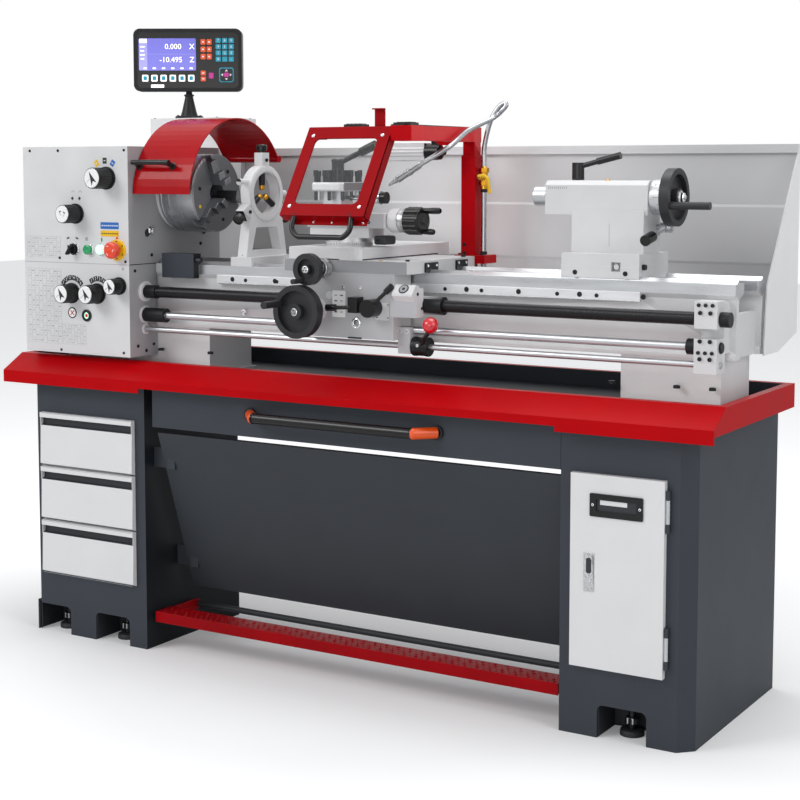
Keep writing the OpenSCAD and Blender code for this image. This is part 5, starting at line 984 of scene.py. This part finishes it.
# thread dial on its sloping housing
HOUSE_X0, HOUSE_X1, HOUSE_Y0, HOUSE_Y1, HOUSE_Z = 190.5, 255.5, 8.5, 43.5, 955
arm.add([(HOUSE_X0, HOUSE_Y0, 952), (HOUSE_X1, HOUSE_Y0, 932), (HOUSE_X1, HOUSE_Y1, 932),
    (HOUSE_X0, HOUSE_Y1, 952), (HOUSE_X0, HOUSE_Y0, HOUSE_Z), (232, HOUSE_Y0, HOUSE_Z),
    (232, HOUSE_Y1, HOUSE_Z), (HOUSE_X0, HOUSE_Y1, HOUSE_Z)],
    [(0, 1, 5, 4), (2, 3, 7, 6), (1, 2, 6, 5), (4, 5, 6, 7), (3, 0, 4, 7), (3, 2, 1, 0)], "cast")
arm.plate((203, 0, 0), Y, Z, [(8.4, 924), (8.4, 955), (24, 955), (22, 960), (9, 963), (-8, 944), (-8, 938)],
    54, "cast")
SLOPE, UPHILL = Vector((0, -0.745, 0.667)), Vector((0, 0.667, 0.745))
DIAL = Vector((230, 0.5, 953.5))
# the dial's dark centre is painted shade
arm.lathe(DIAL - SLOPE * 0.5, SLOPE, [(12.4, 0), (12.4, 1.6), (11.6, 2.2), (9.8, 2.2, "ink"), (9.2, 1.8),
    (4, 1.8, "graphite_dark_and_shade"), (3.4, 2.6), (0, 2.6)], "screw", 32)
for a in turns(8):
    arm.mark(DIAL + SLOPE * 1.2 + X * 7 * math.cos(a) + UPHILL * 7 * math.sin(a), X, UPHILL, 3, 0.9,
        "blackink", math.degrees(a))
arm.screw((256, 18, 942), X, 8, "screw", 1.2)
arm.screw((256, 36, 908), X, 7, "screw", 1.2)
# way wipers and oilers
for y0, y1 in ((100, 158), (246, 300)):
    for x0, x1, face, out in ((225, 230, 230, X), (-120, -115, -120, -X)):
        arm.box(x0, x1, y0, y1, 985.4, 1008, "black_satin")
        for y in (y0 + 9, y1 - 9):
            arm.screw((face, y, 1001), out, 6.4, "chrome", 1.6)
arm.screw((217, 300, SADDLE_Z), Z, 11, "screw", 6)
for x in (-70, 60, 150):
    arm.lathe((x, 30, SADDLE_Z), Z, [(4.4, -0.2), (4.4, 1), (3, 1.6), (0, 1.6)], "brass", 16)
arm.mark((60, 22, 985), X, Z, 300, 0.8, "ink")
arm.done()

cs = Build("cross_slide_details", "cross_slide", "light_casting_paint")
cs.box(-42, -26, 205, 221, 1041.6, 1056, "black_satin")
# dark strip along the slide's foot: painted shade in the gap
cs.box(100, 105.4, 22, 372, 1013.6, 1017, "graphite_dark_and_shade")
cs.box(-70, 70, 20.6, 21.4, 1016, 1038, "cast")
cs.box(84, 105.5, 20.4, 22, 1015.5, 1040.5, "white_steel")
cs.done()
SWIVEL_X, SWIVEL_Y, SWIVEL_R = 2, 125, 56.2
cb = Build("swivel_details", "compound_base", "light_casting_paint")
cb.lathe((SWIVEL_X, SWIVEL_Y, 1043), Z, [(56.3, 0), (56.3, 9), (55.8, 9.4)], "cast", 72)
for i in range(72):
    a = math.radians(i * 5)
    at = Vector((SWIVEL_X, SWIVEL_Y, 1047 if i % 2 else 1048)) + Vector((math.cos(a), math.sin(a),
        0)) * SWIVEL_R
    cb.mark(at, Vector((-math.sin(a), math.cos(a), 0)), Z, 0.7, 5 if i % 2 else 7, "blackink")
cb.box(86, 119, 100, 150, 1047, 1068, "graphite_dark_and_shade")
cb.screw((98, 99.5, 1057), -Y, 8, "screw", 2)
cb.done()
ts = Build("top_slide_details", "top_slide", "light_casting_paint")
for x in (-70, -20, 30, 80):
    # dark screw sockets: painted shade
    ts.lathe((x, 88, 1100), -Y, [(4.5, -0.2), (4.5, 0.5), (2.4, 0.6, "graphite_dark_and_shade"), (2.2, -0.2),
        (0, -0.2)], "screw", 14)
ts.done()


def dial_ring(b, at, axis, r, w, n):
    """Graduated collar with n lines and a number at every tenth."""
    u, v, a = frame_of(axis)
    at = Vector(at)
    b.lathe(at, axis, [(r - 1.5, 0), (r, 1), (r, w - 1), (r - 1.5, w)], "dial", 64)
    for i, q in enumerate(turns(n)):
        out, along = u * math.cos(q) + v * math.sin(q), v * math.cos(q) - u * math.sin(q)
        line = w * (0.62 if i % 10 == 0 else 0.46 if i % 5 == 0 else 0.3)
        b.mark(at + out * r + a * (w - 1 - line / 2), along, a, 0.7, line, "blackink")
        if i % 10 == 0:
            b.text(str(i), at + out * (r + 0.05) + a * (w * 0.2), along, a, w * 0.24, "blackink")


WY, WZ = 125, 1104               # axis of the top slide's screw
tw = Build("top_wheel_details", "top_wheel", "black_metal")
tw.lathe((124, WY, WZ), X, [(26.8, 0), (28.4, 1), (28.4, 25), (27, 26)], "cast", 64)
dial_ring(tw, (150, WY, WZ), X, 28.4, 16, 60)
tw.lathe((150, WY, WZ), X, [(27.2, 0), (28.6, 0.4), (28.6, 1.2), (27.2, 1.6)], "graphite_dark_and_shade", 48)
for a in turns(16):
    y, z = WY + 30.6 * math.cos(a), WZ + 30.6 * math.sin(a)
    tw.tube([(168, y, z), (204, y, z)], 2.2, "black", 8)
tw.lathe((206, WY, WZ), X, [(31, -0.5), (30, 1.5), (25, 2.4), (23, 0.6), (8, 0.6), (7, 3), (0, 3)], "black",
    44)
tw.lathe((206, WY, WZ + 24), X, [(5.6, 0), (6.4, 8), (7.6, 30), (7.4, 44), (5, 48), (0, 48)], "black", 20)
tw.lathe((206, WY, WZ - 25), X, [(5.6, 0), (6.2, 6), (7.2, 20), (7, 28), (4.6, 31), (0, 31)], "black", 20)
tw.done()


def wheel_hub(wheel, at, axis, r, pins):
    """Chrome cap with three pins, or a washer with nut and stud."""
    at, axis = Vector(at), Vector(axis)
    b = Build(wheel + "_hub", wheel, "black_metal")
    if pins:
        b.lathe(at, axis, [(r, 0), (r, 1.6), (r * 0.86, 2.4), (0, 2.4)], "chrome", 28)
        u, v, a = frame_of(axis)
        for q in turns(3, 0.5):
            b.lathe(at + a * 2.2 + (u * math.cos(q) + v * math.sin(q)) * r * 0.52, a,
                [(r * 0.2, 0), (r * 0.2, 0.8), (0, 0.8)], "screw", 12)
    else:
        b.lathe(at, axis, [(r, 0), (r, 2.4), (r * 0.7, 3)], "chrome", 28)
        b.hexnut(at + axis * 2.6, axis, r * 1.5, 8, "chrome")
        b.lathe(at + axis * 6, axis, [(r * 0.34, 0), (r * 0.34, 7), (r * 0.2, 8), (0, 8)], "steel", 16)
    b.done()


wheel_hub("carriage_wheel", (-18, -78, 896), -Y, 9, True)
wheel_hub("cross_wheel", (2, -61, 994), -Y, 8.6, True)
wheel_hub("tail_wheel", (811, AY, AZ), X, 15, False)
cw = Build("cross_wheel_dial", "cross_wheel", "black_metal")
dial_ring(cw, (2, 20, 994), -Y, 22, 26, 50)
cw.done()
tl = Build("tail_wheel_dial", "tail_wheel", "black_metal")
dial_ring(tl, (760, AY, AZ), X, 38.6, 24, 80)
tl.done()

TX, TY, TZ = -30, 125, 1120      # tool post: axis and foot
tp = Build("tool_post_details", "tool_post", "bare_steel")
tp.box(TX - 46.3, TX + 46.3, TY - 46.3, TY + 46.3, TZ + 52, TZ + 73.3, "white_steel")
# darker plate over the block's right face: painted shade
tp.box(TX + 45.9, TX + 46.8, TY - 45, TY + 45, TZ + 53, TZ + 72.6, "chuck_face")
for x, y in ((-38, -38), (-38, 38), (0, -38), (-38, 0), (0, 38), (38, 0), (38, -38), (38, 38)):
    tp.lathe((TX + x, TY + y, TZ + 30), Z, [(0, 0), (3.4, 0), (4.4, 2), (4.4, 22)], "screw", 16)
    tp.lathe((TX + x, TY + y, TZ + 73), Z, [(4.6, 0), (4.6, 14), (6, 15), (6, 28), (5.4, 29), (3, 29),
        (3, 24), (0, 24)], "screw", 16)
tp.lathe((TX + 69, TY, TZ + 37), X, [(6, 0), (9, 2), (15, 4), (16.4, 14, "steel"), (16.4, 30), (12, 32),
    (9, 34, "black"), (15, 36), (15.6, 52), (14, 57), (8, 59), (0, 59)], "chrome", 32)
tp.done()
cl = Build("clamp_lever_details", "clamp_lever", "black_metal")
cl.lathe((TX, TY, TZ + 100), Z, [(15.4, 0), (15.4, 4), (14, 6), (14, 20), (16, 22), (16, 27), (12, 30),
    (0, 31)], "black", 28)
rod = smooth_path([(TX + x, TY, TZ + z) for x, z in ((8, 120), (40, 135), (70, 146.5), (108, 162))], 5)
cl.tube(rod, [6 + 5.2 * max(0, min(1, (i - 11) / 4)) for i in range(len(rod))], "black", 16)
cl.done()

# ---------------------------------------------------------------- rods, bed and bracket
bd = Build("bed_details", "stand", "light_casting_paint")
for x in (-330, -200, 337, 470, 620, 770):
    bd.screw((x, 100.0, 951), -Y, 12, "screw", 0.8)
for i in range(250):
    x = -372 + i * 4.6
    if x < 756 and not -64 < x < 194:
        bd.box(x, x + 2.3, 99.2, 103.5, 938.2, 942, "steel")
bd.lathe((-300, 106, 870), -Y, [(7, -0.3), (7, 1.2), (4, 1.8), (0, 1.8)], "chrome", 18)
for x in (700, 850, 930, -560, -400):
    bd.screw((x, 98, 760), Z, 15, "screw", 6)
(bx0, bx1), (by0, _), _ = lim("rod_bracket")
for z in (SCREW_Z, FEED_Z, CONTROL_Z):
    for k in (0.28, 0.72):
        bd.lathe((bx0 + (bx1 - bx0) * k, by0, z + 14), -Y,
            [(4.6, -0.3), (4.6, 0.9), (2.6, 1), (2.2, -0.2), (0, -0.2)], "screw", 16)
bd.lathe((bx1, ROD_Y, SCREW_Z), X, [(15, 0), (15, 3), (12, 6), (0, 6)], "black_satin", 28)
bd.lathe((bx1, ROD_Y, FEED_Z), X, [(12, 0), (12, 3), (10, 5), (0, 5)], "black_satin", 24)
# pins of the foot brake, then the foot pockets, lined with dark paint as painted shade, with their levelling
# feet
bd.screw((-520, 190, 80), X, 16, "black_satin", 4)
bd.screw((610, 190, 80), -X, 16, "black_satin", 4)
HALF_FOOT = 57.5
for x in (-854, -652, 775):
    x0, x1 = x - HALF_FOOT + 1, x + HALF_FOOT - 1
    # dark lining of the foot pockets: painted shade
    bd.box(x0, x1, 93, 96.6, 1, FOOT_Z1, "graphite_dark_and_shade")
    for side in (x - HALF_FOOT + 1.4, x + HALF_FOOT - 1.4):
        bd.box(side - 1, side + 1, 4, 96, 1, FOOT_Z1, "graphite_dark_and_shade")
    bd.box(x0, x1, 4, 96, FOOT_Z1 + 0.4, FOOT_Z1 + 2.6, "graphite_dark_and_shade")
    bd.lathe((x, 60, 0.4), Z, [(0, 0), (27, 0), (27, 8), (24, 12.4), (9, 13)], "rubber", 32)
    bd.lathe((x, 60, 13), Z, [(8.4, 0), (8.4, 62)], "screw", 20)
    bd.hexnut((x, 60, 26), Z, 31, 14, "screw")


def belt(x, motor, spindle, r_motor, r_spindle):
    """Closed loop round two pulleys in the plane x, each pulley given by its y and z."""
    dy, dz = spindle[0] - motor[0], spindle[1] - motor[1]
    lean = math.atan2(dz, dy)
    wrap = math.acos((r_motor - r_spindle) / math.hypot(dy, dz))
    loop = []
    for (cy, cz), r, start, span in ((motor, r_motor, lean + wrap, 2 * math.pi - 2 * wrap),
            (spindle, r_spindle, lean - wrap, 2 * wrap)):
        for i in range(25):
            t = start + span * i / 24
            loop.append((x, cy + r * math.cos(t), cz + r * math.sin(t)))
    return loop[-1:] + loop + loop[:1]


bd.tube(belt(-950, (364.0, 890.0), (AY, AZ), 43.0, 73.0), 3, "belt", 10)
bd.done()
tr = Build("brake_tread", "foot_brake", "dark_red_paint")
for r in range(4):
    for i in range(70):
        x, y = -516 + i * 16.2 + (8.1 if r % 2 else 0), 29 + r * 14
        if x < 606:
            a = math.radians(45 if (i + r) % 2 else -45)
            c, s = math.cos(a), math.sin(a)
            rhomb = [Vector((x + p * c - q * s, y + p * s + q * c, 96.8)) for p,
                q in ((-6, 0), (0, -2), (6, 0), (0, 2))]
            tr.add(rhomb + [Vector((x, y, 98.8))], [(0, 1, 4), (1, 2, 4), (2, 3, 4), (3, 0, 4)], "red_gloss")
tr.done()

# ---------------------------------------------------------------- door and drawers
VENT_X, VENT_Z, LOCK_X = 764, 513, 702
dr = Build("door_fittings", "cabinet_door", "pale_paint")
dr.plate((VENT_X, -15, VENT_Z), X, Z, round_poly(122, 50, 3, 4), 2, "black", round_poly(92, 26, 2, 4))
# dark sheet behind the vent slots: painted shade
dr.plate((VENT_X, -12.6, VENT_Z), X, Z, round_poly(96, 28, 1, 4), 0.6, "graphite_dark_and_shade")
dr.mark((757, -13.3, 519), X, Z, 62, 10, "pale")
for x in (VENT_X - 54, VENT_X + 54):
    dr.screw((x, -16.6, VENT_Z), -Y, 6, "chrome", 1)
dr.plate((LOCK_X, -14.4, 366), X, Z, round_poly(24, 84, 11, 5), 1.6, "chrome")
# dark keyhole: painted shade
dr.plate((LOCK_X, -15.8, 380), X, Z, round_poly(12, 34, 5, 4), 1.0, "graphite_dark_and_shade")
dr.plate((LOCK_X, -16.2, 342), X, Z, round_poly(10, 12, 4, 4), 1.2, "steel")
dr.done()
for i in (1, 2, 3):
    (x0, x1), (y0, _), (z0, z1) = lim(f"drawer_{i}")
    b = Build(f"drawer_{i}_edge", f"drawer_{i}", "pale_paint")
    b.box(x0 + 4, x1 - 4, y0 - 0.4, y0 + 0.4, z1 - 2.2, z1 - 1.2, "ink")
    b.box(x0 + 4, x1 - 4, y0 - 0.3, y0 + 0.5, z0 + 1.4, z0 + 2.2, "ink")
    b.done()

# ---------------------------------------------------------------- tailstock, steady rest and start lever
tk = Build("tailstock_details", "tailstock", "light_casting_paint")
tx0 = lim("tailstock")[0][0]
tk.lathe((tx0, AY, AZ), -X, [(30, -0.3), (30, 2), (27, 4), (22.6, 4)], "cast", 36)
for i in range(10):
    tk.mark((tx0 + 8 + i * 5, AY - 40, AZ + 20), X, Z, 0.6, 7 if i % 5 == 0 else 4.5, "blackink")
for x in (600, 720):
    tk.screw((x, 118, 998), -Y, 11, "screw", 1.4)
tk.screw((752, 140, 1012), X, 13, "screw", 5)
tk.lathe((640, AY, AZ + 36), Z, [(5, -0.2), (5, 1.4), (3.4, 3), (0, 3)], "brass", 16)
tk.mark((665, AY - 46, 1080), X, Z, 0.8, 50, "ink")
tk.done()
ql = Build("quill_marks", "quill", "bare_steel")
qx0 = lim("quill")[0][0]
for i in range(18):
    ql.mark((qx0 + 6 + i * 5, AY - 22.0, AZ + 3), X, Z, 0.6, 8 if i % 5 == 0 else 5, "blackink")
ql.lathe((qx0, AY, AZ), -X, [(20.6, 0.2), (20, 0.9), (12, 0.9), (11.2, 0.2)], "chrome", 36)
ql.done()
REST = Vector((-310, AY, AZ))
sr = Build("steady_details", "steady_rest", "light_casting_paint")
for a in (90, 212, 328):
    out = around(math.radians(a))
    sr.lathe(REST + out * 9, out, [(0, 0), (4, 0), (7, 3), (7, 12)], "brass", 20)
    sr.lathe(REST + out * 21, out, [(8, 0), (8, 34)], "screw", 20)
    sr.lathe(REST + out * 100, out, [(9, 0), (9, 7), (13.4, 9), (14, 20), (12, 23), (5, 24), (0, 24)],
        "black", 24)
    sr.screw(REST + out * 84 + X * 15, X, 9, "screw", 3)
for y in (AY - 78, AY + 78):
    sr.screw((REST.x, y, 1006), Z, 14, "screw", 7)
sr.lathe(REST + X * 14.6, X, [(69, -0.4), (69, 1.2), (67.6, 1.8), (57, 1.8), (55.6, 1.2)], "cast", 56)
sr.done()
lv = Build("start_lever_rod", "start_lever", "bare_steel")
lv.tube(smooth_path([(250, 44, 828), (262, 34, 838), (276, 24, 848), (288, 17, 862)], 4), 4.6, "black", 12)
lv.lathe((222.6, ROD_Y, CONTROL_Z), X, [(21.4, 0), (22.4, 1), (22.4, 8), (21.4, 9), (21.4, 33), (22.4, 34),
    (22.4, 40), (21.4, 41)], "black_satin", 40)
lv.screw((243, 38.6, 822), -Y, 8, "chrome", 2)
lv.done()


# ---------------------------------------------------------------- floor, light and background
def floor(half_size):
    """Pale floor that keeps the shadow and brightens to white away from the machine, for the camera only."""
    me = bpy.data.meshes.new("floor")
    s = half_size
    me.from_pydata([(-s, -s, 0), (s, -s, 0), (s, s, 0), (-s, s, 0)], [], [(0, 1, 2, 3)])
    o = bpy.data.objects.new("floor", me)
    bpy.context.collection.objects.link(o)
    m = bpy.data.materials.new("studio_floor")
    tree = tree_of(m)
    place = node(tree, "TexCoord").outputs["Object"]
    cloud = node(tree, "TexNoise", {"Vector": place, "Scale": 1.5}).outputs["Fac"]
    tone = node(tree, "ValToRGB", {0: cloud})
    tone.color_ramp.elements[0].color = (0.86, 0.86, 0.87, 1)
    tone.color_ramp.elements[1].color = (0.9, 0.9, 0.9, 1)
    paint = node(tree, "BsdfDiffuse", {"Color": tone.outputs[0]}).outputs[0]
    away = node(tree, "VectorMath", {0: place}, operation="LENGTH").outputs["Value"]
    far = node(tree, "MapRange", {"Value": away, "From Min": 0.7, "From Max": 2.0, "To Min": 0.12,
        "To Max": 0.5})
    seen = node(tree, "LightPath").outputs["Is Camera Ray"]
    gate = node(tree, "Math", {0: seen, 1: far.outputs["Result"]}, operation="MULTIPLY").outputs[0]
    glow = node(tree, "Emission", {"Strength": gate}).outputs[0]
    both = node(tree, "AddShader", {0: paint, 1: glow}).outputs[0]
    node(tree, "OutputMaterial", {0: both})
    me.materials.append(m)


def softbox(name, at, aim, size, power):
    d = bpy.data.lights.new(name, "AREA")
    d.shape = "RECTANGLE"
    d.size, d.size_y = size
    d.energy = power
    o = bpy.data.objects.new(name, d)
    bpy.context.collection.objects.link(o)
    o.location = at
    o.rotation_euler = (Vector(aim) - Vector(at)).to_track_quat("-Z", "Y").to_euler()


def studio():
    """Faint cool light from all round; the camera, mirrors and glass see it as white."""
    world = bpy.data.worlds.new("studio")
    bpy.context.scene.world = world
    tree = tree_of(world)
    path = node(tree, "LightPath").outputs
    direct = node(tree, "Math", {0: path["Is Camera Ray"], 1: path["Is Transmission Ray"]},
        operation="MAXIMUM")
    white = node(tree, "Math", {0: direct.outputs[0], 1: path["Is Glossy Ray"]}, operation="MAXIMUM")
    fill = node(tree, "Background", {"Color": (0.93, 0.96, 1.0, 1), "Strength": 0.32}).outputs[0]
    plain = node(tree, "Background", {"Color": (1, 1, 1, 1), "Strength": 1.0}).outputs[0]
    mixed = node(tree, "MixShader", {0: white.outputs[0], 1: fill, 2: plain}).outputs[0]
    node(tree, "OutputWorld", {0: mixed})


floor(14)
softbox("key_softbox", (-2.6, -3.6, 3.6), (0, 0, 0.8), (2.4, 2.0), 98)
softbox("right_softbox", (4.2, -1.2, 2.6), (0.3, 0, 0.9), (2.0, 2.6), 42)
softbox("top_softbox", (0.3, 0.3, 4.2), (0.2, 0, 0.9), (3.6, 2.0), 84)
softbox("front_fill", (1.2, -4.6, 1.1), (0, 0, 0.6), (3.0, 1.6), 28)
studio()
bpy.context.scene.view_settings.view_transform = "Standard"
